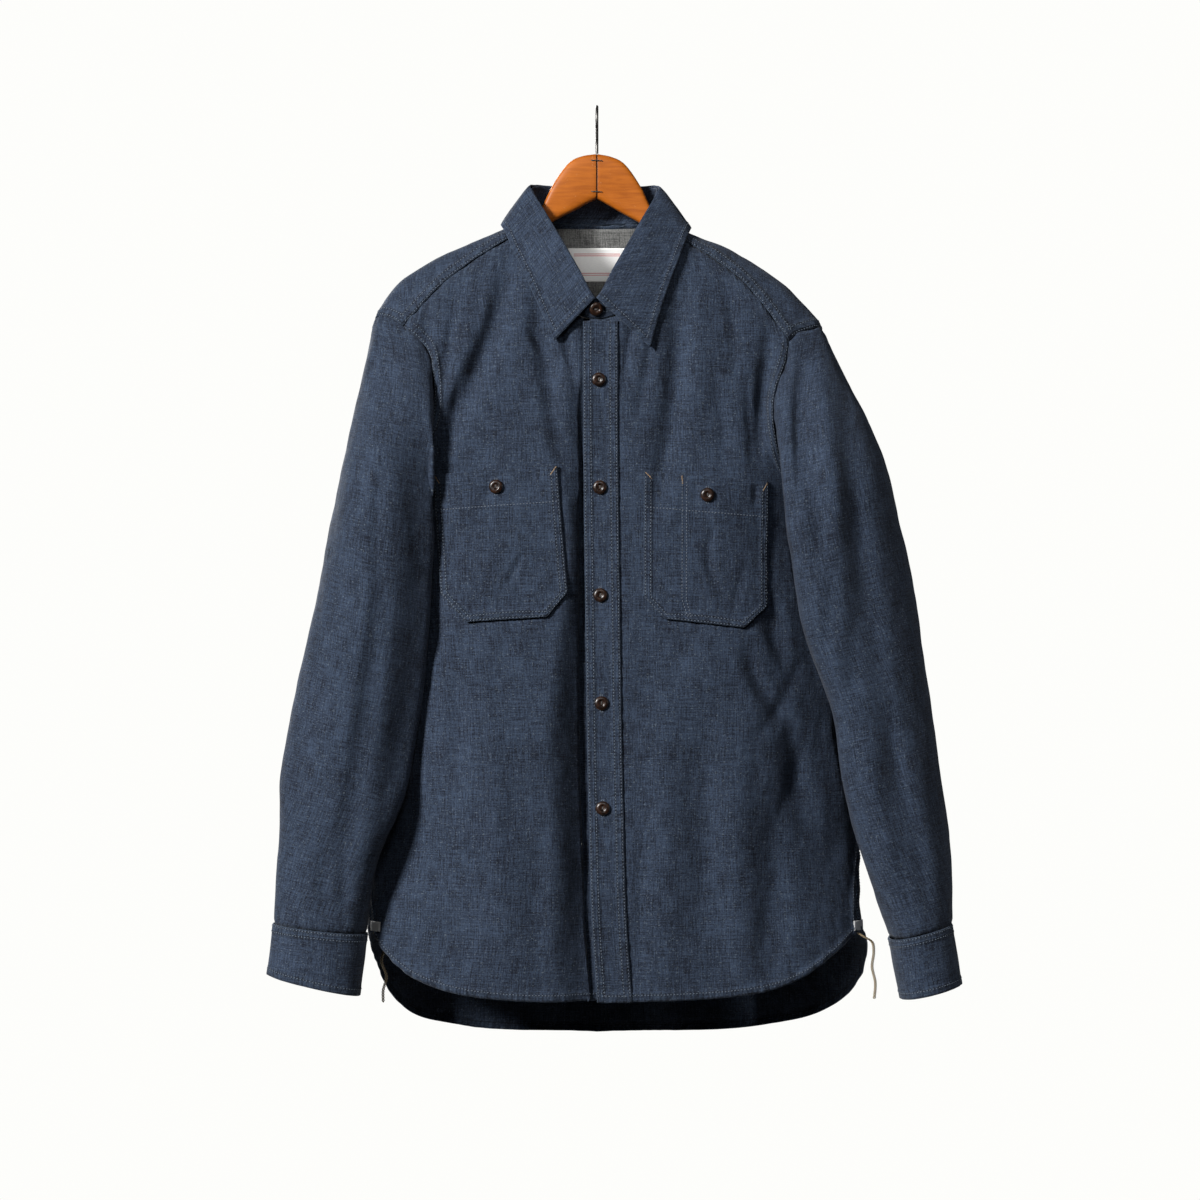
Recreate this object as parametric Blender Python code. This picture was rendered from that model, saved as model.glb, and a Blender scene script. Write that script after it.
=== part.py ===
# A chambray work shirt, buttoned up on a wooden wishbone hanger.
#
# Lengths are in millimetres until addObject turns them into metres. The origin is the
# inner top of the hanger's hook, where a rail holds it. X runs to the wearer's left,
# the front faces -Y, and "down" is the distance below the origin, so z = -down.
# "Out" is the distance from the middle plane, and left and right are the wearer's.

import functools
import math

import bmesh
import bpy
import numpy as np
from mathutils import Vector

METRES = 0.001

# ---- Driving dimensions -------------------------------------------------------------

clothWall = 1.2
collarWall = 1.8
cuffWall = 1.8
labelWall = 0.6
seamGap = 0.3
seamStep = 1.4 * seamGap   # down a sloping seam
layerStep = clothWall + seamGap

buttonRadius = 6.5
buttonHeight = 3.0
buttonSides = 12
placketWidth = 32.7
pocketGap = 1.3

hookWire = 3.0
hookInnerRadius = 12.0
threadThickness = 1.4

ridgeHalfDepth = 9.6      # half the cloth's depth where it lies over the hanger's arms
ridgeTilt = 0.88          # distance across a shoulder's slope for each mm down
chestDepth = 50.0         # from the middle plane to the front's middle, at the chest
hemDepth = 67.0
backDepth = 52.0
backHemDepth = 68.0
frontFullness = 70.0      # how soon the front and the back swell below the shoulders
backFullness = 42.0
sideRoundness = 3.2
sideSharpness = 8.0       # how late the folds and the bed fade towards the side
sideSpacing = 1.5         # packs a panel's columns closer near the side seam
armBedBack = 18.0         # how far the sleeve that hangs there presses the side back
armBedFront = 10.0
armBedWidth = 24.0
# Each pair is where something begins, down or round, and over how far it grows or fades.
armBedTop = (235.0, 50.0)
armBedFoot = (705.0, 75.0)
sideBackTop = (250.0, 110.0)
sideBackFoot = (690.0, 90.0)
sideBackAcross = (0.55, 0.35)
frontSwell = (260.0, 560.0)
backSwell = (300.0, 520.0)
placketHold = (0.5, 7.0)  # no fold sinks this near to the placket
underlapRamp = (-20.0, 6.0)
standUnder = (0.13, 0.2)
cuffUnder = (0.09, 0.12)

sideSign = {"right": -1.0, "left": 1.0}


def table(columns, *rows):
    return {name: np.array(values, float) for name, values in zip(columns.split(), zip(*rows))}


def follow(rows, key, column, at):
    # A smooth curve through the rows of a table.
    xs = rows[key]
    ys = rows[column]
    at = np.clip(np.asarray(at, float), xs[0], xs[-1])
    slope = np.gradient(ys, xs)
    i = np.clip(np.searchsorted(xs, at, side="right") - 1, 0, len(xs) - 2)
    step = xs[i + 1] - xs[i]
    t = (at - xs[i]) / step
    return (
        ys[i] * (1 + 2 * t) * (1 - t) ** 2
        + slope[i] * step * t * (1 - t) ** 2
        + ys[i + 1] * t**2 * (3 - 2 * t)
        - slope[i + 1] * step * t**2 * (1 - t)
    )


def ease(t):
    t = np.clip(t, 0.0, 1.0)
    return t * t * (3 - 2 * t)


def grown(at, ramp):
    return ease((at - ramp[0]) / ramp[1])


def mix(a, b, t):
    return a + (b - a) * t


# ---- The outline, from the front ----------------------------------------------------

# The top of the shoulders, carried on over the neck opening.
shoulderLine = {
    "right": table(
        "out down",
        (0, 90), (40, 94), (70, 105.5), (88, 113.6), (120, 128), (166, 150), (197, 176.5), (212, 200),
        (230, 245),
    ),
    "left": table(
        "out down",
        (0, 90), (40, 95), (70, 107.5), (88, 118), (125, 134.5), (160, 154.5), (194, 183.6), (214, 210),
        (232, 255),
    ),
}
# How far the body reaches out. Above the underarm the armhole cuts it off before that.
sideLine = {
    "right": table(
        "down out",
        (90, 340), (200, 330), (290, 262), (386, 222), (480, 226), (600, 226), (700, 221), (785, 216.5),
        (900, 216.5),
    ),
    "left": table(
        "down out",
        (90, 345), (205, 335), (300, 270), (396, 230), (480, 240), (600, 245), (700, 249), (773, 251.5),
        (792, 256),
        (830, 260), (900, 262),
    ),
}
# The sleeve's inner edge, as it lies over the front.
sleeveInner = {
    "right": table(
        "down out", (250, 153), (400, 152), (467, 153), (556, 163), (666, 181), (723, 208), (763, 215),
    ),
    "left": table(
        "down out",
        (250, 172), (344, 174), (392, 177), (467, 186), (501, 195), (535, 215), (600, 221), (650, 232),
        (701, 245),
        (761, 268),
    ),
}
# Where the side seam lies round the body: 1 is the very side, less is on the front.
sideSeam = table("down wrap", (380, 1.0), (650, 1.0), (740, 0.94), (790, 0.90), (900, 0.90))

# The armhole, turned through from the shoulder point down the front, under and up the back.
# Face is -1 on the front, 0 on the side seam and 1 on the back.
armhole = {
    "right": table(
        "turn out down face",
        (0, 212, 199.6, -1), (14, 208, 197.5, -1), (27, 202, 198, -1), (52, 182.6, 208.9, -1),
        (72, 159.5, 231, -1),
        (93, 153.5, 262, -1), (121, 156, 305, -1), (149, 172, 344, -1), (178, 199, 372, -1),
        (200, 222, 386, 0),
        (220, 221, 364, 1), (260, 207, 316, 1), (300, 193, 268, 1), (322, 193, 245, 1), (342, 205, 215, 1),
        (360, 212, 199.6, 1),
    ),
    "left": table(
        "turn out down face",
        (0, 214, 209.6, -1), (14, 210, 208.5, -1), (27, 204, 210, -1), (52, 181.8, 223.5, -1),
        (65, 178, 243, -1),
        (88, 167, 275, -1), (114, 168, 312, -1), (145, 180, 352, -1), (178, 208, 382, -1),
        (200, 230, 396, 0),
        (220, 228, 372, 1), (260, 214, 322, 1), (300, 198, 276, 1), (322, 195, 253, 1), (342, 206, 226, 1),
        (360, 214, 209.6, 1),
    ),
}
yokeFrontTurn = 52.0
underarmTurn = 200.0
yokeBackTurn = 322.0
shoulderTurn = 360.0

# The neck seam, from the front's middle (0) over the shoulder (1) to the back's middle (2).
neckSeam = {
    "right": table(
        "round out down face",
        (-0.15, -17, 203.2, -1), (0, 0, 204, -1), (0.12, 14, 202.5, -1), (0.25, 29, 192.5, -1),
        (0.5, 52, 160, -1),
        (0.75, 65, 129, -1), (0.88, 68.4, 115.5, -1), (1, 70, 105.5, -1), (1.2, 66, 106.2, 1),
        (1.5, 50, 107.8, 1),
        (1.75, 26, 109.2, 1), (2, 0, 109.6, 1),
    ),
    "left": table(
        "round out down face",
        (-0.15, -17, 203.2, -1), (0, 0, 204, -1), (0.12, 14, 202.5, -1), (0.25, 29, 193.5, -1),
        (0.5, 51, 163, -1),
        (0.75, 63.5, 133, -1), (0.88, 67, 118.5, -1), (1, 68.5, 106.8, -1), (1.2, 65, 107.4, 1),
        (1.5, 50, 108.2, 1),
        (1.75, 26, 109.2, 1), (2, 0, 109.6, 1),
    ),
}
yokeNeckRound = 0.88
# The fold at the top of the collar, and the collar leaf's outer edge.
collarFold = {
    "right": table(
        "round out back down",
        (-0.15, -9, -46.5, 187), (0, 0.6, -46, 184), (0.25, 16.2, -41, 156.5), (0.5, 31.8, -33, 129),
        (0.75, 47.4, -20, 101.5), (1, 61.5, -4, 76), (1.2, 57, 11, 72), (1.5, 40, 25, 70.5),
        (1.75, 21, 30, 69.8),
        (2, 0, 31.5, 69.5),
    ),
    "left": table(
        "round out back down",
        (-0.15, -11, -46.5, 187), (0, -1, -46, 184), (0.25, 14, -41, 157.5), (0.5, 29, -33, 131),
        (0.75, 44, -20, 104), (1, 57.5, -4, 78), (1.2, 54, 11, 73), (1.5, 38, 25, 71), (1.75, 20, 30, 70),
        (2, 0, 31.5, 69.5),
    ),
}
collarEdge = {
    "right": table(
        "round out down face",
        (0, 39.1, 224, -1), (0.25, 52, 195, -1), (0.5, 66, 163, -1), (0.75, 78.5, 136.5, -1),
        (1, 87.5, 114.2, -1),
        (1.2, 84, 114.2, 1), (1.5, 62, 115, 1), (1.75, 34, 117, 1), (2, 0, 118, 1),
    ),
    "left": table(
        "round out down face",
        (0, 49.5, 230.8, -1), (0.25, 58, 199, -1), (0.5, 68, 168, -1), (0.75, 78.5, 140, -1),
        (1, 86, 117.6, -1),
        (1.2, 82, 116.2, 1), (1.5, 61, 116, 1), (1.75, 34, 117, 1), (2, 0, 118, 1),
    ),
}
collarLift = 3.2
leafClear = 0.1           # between the leaf's fold and the stand, over the seam gap
standFootClear = 1.4      # above the neck seam, where two sloping walls meet
standTopDrop = 1.0        # below the leaf's fold
# The seam between a front and the yoke.
yokeFrontSeam = {
    "right": table(
        "share out down", (0, 68.4, 115.5), (0.45, 121.3, 149.7), (0.65, 143.9, 167.2), (1, 182.6, 208.9),
    ),
    "left": table(
        "share out down", (0, 67, 118.5), (0.45, 118.7, 149.7), (0.65, 142.2, 170.7), (1, 181.8, 223.5),
    ),
}
yokeBackMiddle = 214.0
yokeBackDip = {"right": 31.0, "left": 38.2}     # how much lower the back seam ends at the armholes

frontHem = {
    "right": table(
        "share out down",
        (0, -25, 841.5), (0.12, 9, 841.5), (0.35, 68, 840.5), (0.52, 109.5, 836.7), (0.7, 150, 827.1),
        (0.82, 175, 815), (0.92, 194, 797), (1, 205.5, 779.5),
    ),
    "left": table(
        "share out down",
        (0, 7, 841.5), (0.3, 80, 839.5), (0.5, 125, 836.5), (0.7, 166, 829), (0.82, 193, 817),
        (0.92, 219, 799),
        (1, 243.5, 779.5),
    ),
}
frontHemDown = 841.5
backHemDown = 886.0
hemCornerDown = 779.5
backHem = {
    "right": table(
        "wrap down", (0.88, 779.5), (1, 795), (1.08, 817), (1.16, 841), (1.28, 863), (1.53, 880), (2, 886),
    ),
    "left": table(
        "wrap down", (0.88, 779.5), (1, 802), (1.07, 826), (1.15, 844), (1.3, 866), (1.53, 881), (2, 886),
    ),
}
# The front placket's middle, which drifts to the wearer's left as the shirt hangs.
placketLine = table(
    "down across", (195, 3.5), (267, 3.4), (462, 5.4), (654, 8.4), (774, 12), (841.5, 16.7),
)
placketTopDown = 205.6
underlapStep = 2.4
underlap = {"right": -8.0, "left": -10.0}
neckStart = {"right": -0.10, "left": -0.06}

# Pocket corners, from the top inner one round by the bottom to the top outer one.
pocketCorners = {
    "right": table(
        "out down", (37.3, 341.5), (27.1, 459.6), (46.1, 482.9), (121.3, 487.7), (145.2, 460.7),
        (152.5, 349.3),
    ),
    "left": table(
        "out down", (43.7, 346.9), (43.7, 464.3), (63.3, 484.7), (137.9, 493), (158.8, 472.7),
        (160.5, 355.7),
    ),
}
pocketCornerShare = 0.84  # how far down a pocket its bottom corners are cut off

buttonPlaces = {
    "placket_button_1": (1.9, 260.8),
    "placket_button_2": (2.9, 361.8),
    "placket_button_3": (3.3, 462.6),
    "placket_button_4": (4.3, 563.2),
    "placket_button_5": (5.6, 660.8),
}
pocketButtonPlaces = {"right": (-94.0, 361.2), "left": (103.3, 368.8)}
collarButtonAt = (0.974, 0.475)   # shares along the stand and down it
cuffButtonAt = (0.965, 0.5)

# The sleeve's sections, from below the underarm to the cuff. Lean brings the inner
# edge forward, over the front.
sleeveSections = {
    "right": table(
        "share outerX outerDown innerX innerDown depth back lean",
        (0, 246, 372, 153, 425, 44, -42, 22), (0.24, 264.6, 467, 157, 500, 42, -42, 22),
        (0.47, 285, 559, 166, 580, 40, -40, 20), (0.66, 298.3, 634, 179, 650, 38, -38, 17),
        (0.83, 300, 700, 205, 712, 35, -34, 10), (1, 303.9, 770, 217.3, 779, 32, -30, 4),
    ),
    "left": table(
        "share outerX outerDown innerX innerDown depth back lean",
        (0, 277, 355, 178, 415, 44, -42, 22), (0.25, 300.6, 462, 193, 495, 42, -42, 22),
        (0.48, 313.5, 555, 220, 575, 41, -42, 18), (0.66, 323.7, 629, 231, 645, 42, -41, 14),
        (0.85, 332.5, 710, 253, 722, 43, -38, 8), (1, 333.3, 768.4, 275.2, 783.5, 43, -34, 4),
    ),
}
cuffSections = {
    "right": table(
        "share outerX outerDown innerX innerDown depth back lean",
        (0, 304.9, 770.8, 216.3, 779.8, 33, -30, 4), (0.5, 307.8, 794.5, 219.2, 808, 33, -30, 4),
        (1, 310.8, 818.6, 223.2, 838, 32.5, -30, 4),
    ),
    "left": table(
        "share outerX outerDown innerX innerDown depth back lean",
        (0, 334.3, 769.2, 274.3, 784.3, 44, -34, 4), (0.5, 339.4, 797, 279, 812, 44, -34, 4),
        (1, 344, 825.4, 284.6, 840.2, 43.5, -34, 4),
    ),
}
# Which part of the sleeve's section hangs from each part of the armhole, how far the cloth
# swings forward and outward from the seam, and how far it stands proud of the body there.
sleeveHead = table(
    "turn angle forward aside proud",
    (0, 0, 0, 0, 0), (27, 55, 12, 0, 0), (52, 92, 30, 0, 0.1), (70, 122, 42, 0, 0.3), (92, 152, 50, 0, 0.6),
    (120, 172, 60, 0, 1.4), (148, 190, 66, 0, 2.0), (178, 212, 80, 0, 1.6), (200, 235, 100, 10, 1.0),
    (220, 252, 120, 35, 0), (240, 264, 110, 45, 0), (260, 277, 60, 30, 0), (280, 290, 20, 10, 0),
    (315, 314, -14, 0, 0), (342, 338, -6, 0, 0), (360, 360, 0, 0, 0),
)
sleeveHeadShare = 0.36    # of the sleeve's length, down to its first full section
sleeveSeamGap = 0.6
cuffOverlapAngle = 24.0
cuffEase = 0.4            # how much wider the cuff is than the sleeve's section
cuffLapGap = 0.6
sleevePlacketAngle = 18.0
sleevePlacketTop = 0.80    # of the sleeve's length
sleevePlacketFoot = 0.975
cuffOpeningAngle = {"right": 300.0, "left": 318.0}

# ---- Folds --------------------------------------------------------------------------

foldEnds = 0.8            # below 1, folds keep their depth nearer to their ends
foldFacing = 0.6          # below 1, folds of the sleeve's front reach further round it

# A row for each fold: where it starts and ends, how it runs, its half width, and how far
# it sinks, or rises where that is below 0.
frontFolds = table(
    "top bottom startX middleX endX width sink",
    (130, 330, -80, -105, -151, 15, 6.0),
    (190, 330, -141, -143, -150, 10, 3.0),
    (300, 870, -21.5, -21.5, -9, 9, 3.6),
    (205, 330, 70, 73, 76, 17, 4.5),
    (235, 360, 148, 150, 155, 12, 4.0),
    (500, 566, 145, 160, 186, 14, 4.5),
    (620, 838, 90, 98, 104, 20, -3.5),
    (640, 835, 146, 143, 140, 17, 3.5),
    (560, 835, -95, -88, -80, 26, -4.0),
    (640, 830, -150, -140, -128, 20, 3.0),
)
backFolds = table(
    "top bottom startX middleX endX width sink",
    (215, 560, -120, -95, -84, 20, 5.0),
    (215, 640, 128, 104, 92, 22, 5.5),
    (300, 880, -30, -22, -12, 26, -4.0),
    (420, 885, 44, 52, 66, 22, 6.0),
    (480, 880, -150, -136, -118, 22, 5.0),
    (520, 880, 160, 150, 140, 24, -4.5),
)
sleeveFolds = {
    "right": table(
        "top bottom startX middleX endX width sink",
        (300, 700, -196, -203, -236, 12, 6.0),
        (690, 770, -246, -251, -254, 11, 3.0),
        (330, 600, -226, -238, -262, 16, -3.0),
        (480, 700, -176, -184, -206, 13, 3.5),
    ),
    "left": table(
        "top bottom startX middleX endX width sink",
        (222, 430, 194, 197, 204, 11, 9.0),
        (215, 520, 217, 220, 228, 13, -3.5),
        (300, 600, 238, 240, 247, 13, 5.0),
        (560, 680, 270, 281, 293, 12, 4.0),
        (640, 775, 262, 290, 306, 14, 3.0),
    ),
}
sleeveBackFolds = {
    "right": table(
        "top bottom startX middleX endX width sink",
        (300, 620, -206, -222, -240, 16, 6.0),
        (560, 760, -262, -262, -266, 14, 4.0),
    ),
    "left": table(
        "top bottom startX middleX endX width sink",
        (300, 620, 216, 236, 262, 16, 6.0),
        (560, 760, 282, 290, 300, 14, 4.0),
    ),
}


def foldSink(rows, x, down):
    # How far all the folds of a table sink at a place.
    total = np.zeros(np.broadcast(x, down).shape)
    for top, bottom, startX, middleX, endX, width, sink in zip(*rows.values()):
        t = np.clip((down - top) / (bottom - top), 0, 1)
        middle = startX * (1 - t) * (1 - 2 * t) + 4 * middleX * t * (1 - t) + endX * t * (2 * t - 1)
        lean = (startX * (4 * t - 3) + 4 * middleX * (1 - 2 * t) + endX * (4 * t - 1)) / (bottom - top)
        aside = (x - middle) / np.sqrt(1 + lean**2)
        along = np.sin(math.pi * t) ** foldEnds
        total = total + sink * along * np.exp(-((aside / width) ** 2))
    return total


# ---- The form that the cloth takes --------------------------------------------------

def bySide(x, right, left):
    return np.where(np.asarray(x) < 0, right, left)


def ridgeDown(x):
    out = np.abs(x)
    return bySide(
        x,
        follow(shoulderLine["right"], "out", "down", out),
        follow(shoulderLine["left"], "out", "down", out),
    )


def reachAt(x, down):
    return bySide(
        x,
        follow(sideLine["right"], "down", "out", down),
        follow(sideLine["left"], "down", "out", down),
    )


def shareOut(x, down):
    return np.clip(np.abs(x) / reachAt(x, down), 0, 1)


def edgeRound(x, down):
    return np.sqrt(1 - shareOut(x, down) ** sideSharpness)


def armBed(x, down):
    # 0 where the front hangs free, 1 where a sleeve presses it back.
    edge = bySide(
        x,
        follow(sleeveInner["right"], "down", "out", down),
        follow(sleeveInner["left"], "down", "out", down),
    )
    lengthwise = grown(down, armBedTop) * (1 - grown(down, armBedFoot))
    return ease((np.abs(x) - edge - 1) / armBedWidth) * lengthwise


def sideBack(x, down):
    lengthwise = grown(down, sideBackTop) * (1 - grown(down, sideBackFoot))
    return armBedBack * lengthwise * grown(shareOut(x, down), sideBackAcross)


def swell(x, down, fullDepth, fullness):
    below = np.maximum((down - ridgeDown(x)) * ridgeTilt, 0)
    ridge = np.sqrt(1 - (1 - np.minimum(below / ridgeHalfDepth, 1)) ** 2)
    side = np.sqrt(1 - shareOut(x, down) ** sideRoundness)
    depth = ridgeHalfDepth + (fullDepth - ridgeHalfDepth) * (1 - np.exp(-below / fullness))
    return depth * ridge * side


def fromPlacket(x, down):
    return np.abs(x - follow(placketLine, "down", "across", down)) - placketWidth / 2


def frontY(x, down):
    full = mix(chestDepth, hemDepth, grown(down, frontSwell))
    bed = armBed(x, down)
    free = swell(x, down, full, frontFullness) * (1 - bed)
    loose = grown(fromPlacket(x, down), placketHold) * edgeRound(x, down) * (1 - bed)
    folded = foldSink(frontFolds, x, down) * loose
    return sideBack(x, down) - free - armBedFront * bed * edgeRound(x, down) + folded


def backY(x, down):
    full = mix(backDepth, backHemDepth, grown(down, backSwell))
    folded = foldSink(backFolds, x, down) * edgeRound(x, down)
    return sideBack(x, down) + swell(x, down, full, backFullness) - folded


def onBody(x, down, face):
    y = np.where(np.asarray(face) < 0, frontY(x, down), backY(x, down))
    return np.stack(np.broadcast_arrays(x, y, -np.asarray(down, float)), -1)


def offBody(x, down, face, lift):
    # A point this far out from the body's outer surface, or in from it where lift is below 0.
    step = 1.0
    across = onBody(x + step, down, face) - onBody(x - step, down, face)
    along = onBody(x, down + step, face) - onBody(x, down - step, face)
    normal = np.cross(across, along) * face
    return onBody(x, down, face) + normal / np.linalg.norm(normal, axis=-1, keepdims=True) * lift


def wrapOf(side, out, down, face):
    # A place on a level round the body: 0 front middle, 1 side, 2 back middle.
    reach = follow(sideLine[side], "down", "out", down)
    return 1 + face * np.maximum(1 - out / reach, 0) ** (1 / sideSpacing)


def onWrap(side, wrap, down):
    reach = follow(sideLine[side], "down", "out", down)
    out = reach * (1 - np.abs(1 - wrap) ** sideSpacing)
    return onBody(sideSign[side] * out, down, wrap - 1 - 1e-9)


def armholePlace(side, turn):
    # Where round the body the armhole runs, and how far down.
    rows = armhole[side]
    wraps = wrapOf(side, rows["out"], rows["down"], rows["face"])
    placed = {"turn": rows["turn"], "wrap": wraps, "down": rows["down"]}
    return follow(placed, "turn", "wrap", turn), follow(placed, "turn", "down", turn)


def fillIn(s, t, top, bottom, start, end, fade=1.0):
    # Fills in between four edges. Each gives pairs of numbers from its share of the way.
    # A higher fade lets the shapes of the top and the bottom edge die away sooner.
    def bend(edge):
        first = edge(np.zeros(s.shape))
        last = edge(np.ones(s.shape))
        return edge(s) - mix(first, last, s[..., None])

    t1 = t[..., None]
    return mix(start(t), end(t), s[..., None]) + bend(top) * (1 - t1) ** fade + bend(bottom) * t1**fade


def pair(first, second):
    return np.stack(np.broadcast_arrays(first, second), -1)


# ---- Panels: each gives its outer surface from two shares -----------------------------

def wayOut(panel, s, t, flip, closed):
    # The direction out of a panel's outer surface at each place.
    def at(s, t):
        return panel(s % 1.0 if closed else np.clip(s, 0, 1), np.clip(t, 0, 1))

    step = 0.001
    normal = np.cross(at(s + step, t) - at(s - step, t), at(s, t + step) - at(s, t - step))
    return normal / np.linalg.norm(normal, axis=1, keepdims=True) * (-1 if flip else 1)


# How many columns and rows of a panel's grid lie along each seam, so that pieces that are
# sewn together have the same corners there.
neckColumns = 7
yokeSeamColumns = 8       # along the front yoke seam, which are the yoke's rows
backSeamColumns = 11      # along half the back yoke seam
frontArmRows = 8
backArmRows = 7
sideRows = 16
strapColumns = 6          # of the yoke's armhole edge, in front of the shoulder and behind it
backStrapColumns = 5
sleeveRows = 18

frontColumns = neckColumns + yokeSeamColumns
yokeHalfColumns = strapColumns + backStrapColumns + backSeamColumns
sleeveColumns = strapColumns + frontArmRows + backArmRows + backStrapColumns
neckShare = neckColumns / frontColumns

frontEdgeFade = 4.5       # how soon the shapes of a panel's top and hem die away inside it
backEdgeFade = 2.0
frontRowSpacing = 0.88    # packs the rows closer at the top of the front's middle edge
cornerFade = 20           # how soon the armhole leaves the corner that it shares
backGap = 0.008           # the side seam's gap, round the body


def sideSeamPlace(t, topDown):
    down = mix(topDown, hemCornerDown, t)
    return follow(sideSeam, "down", "wrap", down), down


def outerEdge(t, side, firstTurn, firstDown, armRows, apart):
    # The armhole, and below it the side seam, moved round the body by this much.
    armShare = armRows / (armRows + sideRows)
    turn = mix(firstTurn, underarmTurn, np.clip(t / armShare, 0, 1))
    armWrap, armDown = armholePlace(side, turn)
    armDown = armDown + (firstDown - armholePlace(side, firstTurn)[1]) * (1 - t) ** cornerFade
    underarm = follow(armhole[side], "turn", "down", underarmTurn)
    seamWrap, seamDown = sideSeamPlace(np.clip((t - armShare) / (1 - armShare), 0, 1), underarm)
    onArm = t < armShare
    return pair(np.where(onArm, armWrap, seamWrap) + apart, np.where(onArm, armDown, seamDown))


def frontPanel(side):
    def top(s):
        onNeck = s < neckShare
        round_ = mix(neckStart[side], yokeNeckRound, np.clip(s / neckShare, 0, 1))
        share = np.clip((s - neckShare) / (1 - neckShare), 0, 1)
        neckOut = follow(neckSeam[side], "round", "out", round_)
        neckDown = follow(neckSeam[side], "round", "down", round_)
        seamOut = follow(yokeFrontSeam[side], "share", "out", share)
        seamDown = follow(yokeFrontSeam[side], "share", "down", share)
        down = np.where(onNeck, neckDown, seamDown) + seamStep
        return pair(wrapOf(side, np.where(onNeck, neckOut, seamOut), down, -1), down)

    def bottom(s):
        out = follow(frontHem[side], "share", "out", s)
        down = follow(frontHem[side], "share", "down", s)
        return pair(wrapOf(side, out, down, -1), down)

    def middle(t):
        top = follow(neckSeam[side], "round", "down", neckStart[side]) + seamStep
        down = mix(top, frontHemDown, t**frontRowSpacing)
        out = sideSign[side] * follow(placketLine, "down", "across", down) + underlap[side]
        return pair(wrapOf(side, out, down, -1), down)

    def at(s, t):
        corner = top(np.ones(1))[0, 1]
        outer = functools.partial(
            outerEdge, side=side, firstTurn=yokeFrontTurn, firstDown=corner, armRows=frontArmRows, apart=0,
        )
        placed = fillIn(s, t, top, bottom, middle, outer, fade=frontEdgeFade)
        points = onWrap(side, placed[..., 0], placed[..., 1])
        if side == "right":
            # It passes under the other front, behind the placket.
            within = points[..., 0] - follow(placketLine, "down", "across", -points[..., 2])
            points[..., 1] += underlapStep * grown(within, underlapRamp)
        return points

    return at


def backSeamDown(x):
    return yokeBackMiddle + bySide(x, yokeBackDip["right"], yokeBackDip["left"]) * (x / 193) ** 2


def backPanel():
    def half(side, s, t):
        def top(s):
            out = follow(armhole[side], "turn", "out", yokeBackTurn) * s
            down = backSeamDown(sideSign[side] * out) + seamStep
            return pair(wrapOf(side, out, down, 1), down)

        def bottom(s):
            wrap = mix(2.0, float(follow(sideSeam, "down", "wrap", hemCornerDown)) + backGap, s)
            return pair(wrap, follow(backHem[side], "wrap", "down", wrap))

        def middle(t):
            return pair(2.0, mix(yokeBackMiddle + seamStep, backHemDown, t))

        corner = top(np.ones(1))[0, 1]
        outer = functools.partial(
            outerEdge, side=side, firstTurn=yokeBackTurn, firstDown=corner, armRows=backArmRows,
            apart=backGap,
        )
        placed = fillIn(s, t, top, bottom, middle, outer, fade=backEdgeFade)
        return onWrap(side, placed[..., 0], placed[..., 1])

    def at(s, t):
        left = (s > 0.5)[..., None]
        share = np.abs(2 * s - 1)
        return np.where(left, half("left", share, t), half("right", share, t))

    return at


def signedDrop(x, down, face):
    # How far below the shoulder's ridge, as a root, so that rows crowd near the ridge.
    return face * np.sqrt(np.maximum(down - ridgeDown(x), 0))


yokeStrapShare = strapColumns / yokeHalfColumns
yokeCornerShare = (strapColumns + backStrapColumns) / yokeHalfColumns


def yokePanel():
    def half(side, s, t):
        # S runs from the front seam to the back's middle, t from the neck to the edge.
        def neck(s):
            onFront = s < yokeStrapShare
            front = mix(yokeNeckRound, 1.0, np.clip(s / yokeStrapShare, 0, 1))
            back = mix(1.0, 2.0, np.clip((s - yokeStrapShare) / (1 - yokeStrapShare), 0, 1))
            round_ = np.where(onFront, front, back)
            out = follow(neckSeam[side], "round", "out", round_)
            down = follow(neckSeam[side], "round", "down", round_)
            return pair(out, signedDrop(sideSign[side] * out - 0.001, down, np.where(onFront, -1, 1)))

        def edge(s):
            frontTurn = mix(yokeFrontTurn, 0.0, np.clip(s / yokeStrapShare, 0, 1))
            backShare = (s - yokeStrapShare) / (yokeCornerShare - yokeStrapShare)
            backTurn = mix(shoulderTurn, yokeBackTurn, np.clip(backShare, 0, 1))
            wrap, down = armholePlace(side, np.where(s < yokeStrapShare, frontTurn, backTurn))
            reach = follow(sideLine[side], "down", "out", down)
            armOut = reach * (1 - np.abs(1 - wrap) ** sideSpacing)
            cornerOut = follow(armhole[side], "turn", "out", yokeBackTurn)
            seamOut = mix(cornerOut, 0.0, np.clip((s - yokeCornerShare) / (1 - yokeCornerShare), 0, 1))
            onArm = s < yokeCornerShare
            out = np.where(onArm, armOut, seamOut)
            down = np.where(onArm, down, backSeamDown(sideSign[side] * seamOut))
            return pair(out, signedDrop(sideSign[side] * out, down, np.where(s < yokeStrapShare, -1, 1)))

        def frontSeam(t):
            out = follow(yokeFrontSeam[side], "share", "out", t)
            down = follow(yokeFrontSeam[side], "share", "down", t)
            return pair(out, signedDrop(sideSign[side] * out, down, -1))

        def middle(t):
            low = signedDrop(0.0, yokeBackMiddle, 1)
            high = signedDrop(0.0, follow(neckSeam[side], "round", "down", 2.0), 1)
            return pair(0.0, mix(high, low, t))

        placed = fillIn(s, t, neck, edge, frontSeam, middle)
        x = sideSign[side] * placed[..., 0]
        drop = placed[..., 1]
        return onBody(x, ridgeDown(x) + drop**2, np.where(drop < 0, -1, 1))

    def at(s, t):
        left = (s > 0.5)[..., None]
        share = 1 - np.abs(2 * s - 1)
        return np.where(left, half("left", share, t), half("right", share, t))

    return at


innerYoke = {"across": 96.0, "top": 111.2, "belowRidge": 9.0, "aboveSeam": 3.0}


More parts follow.
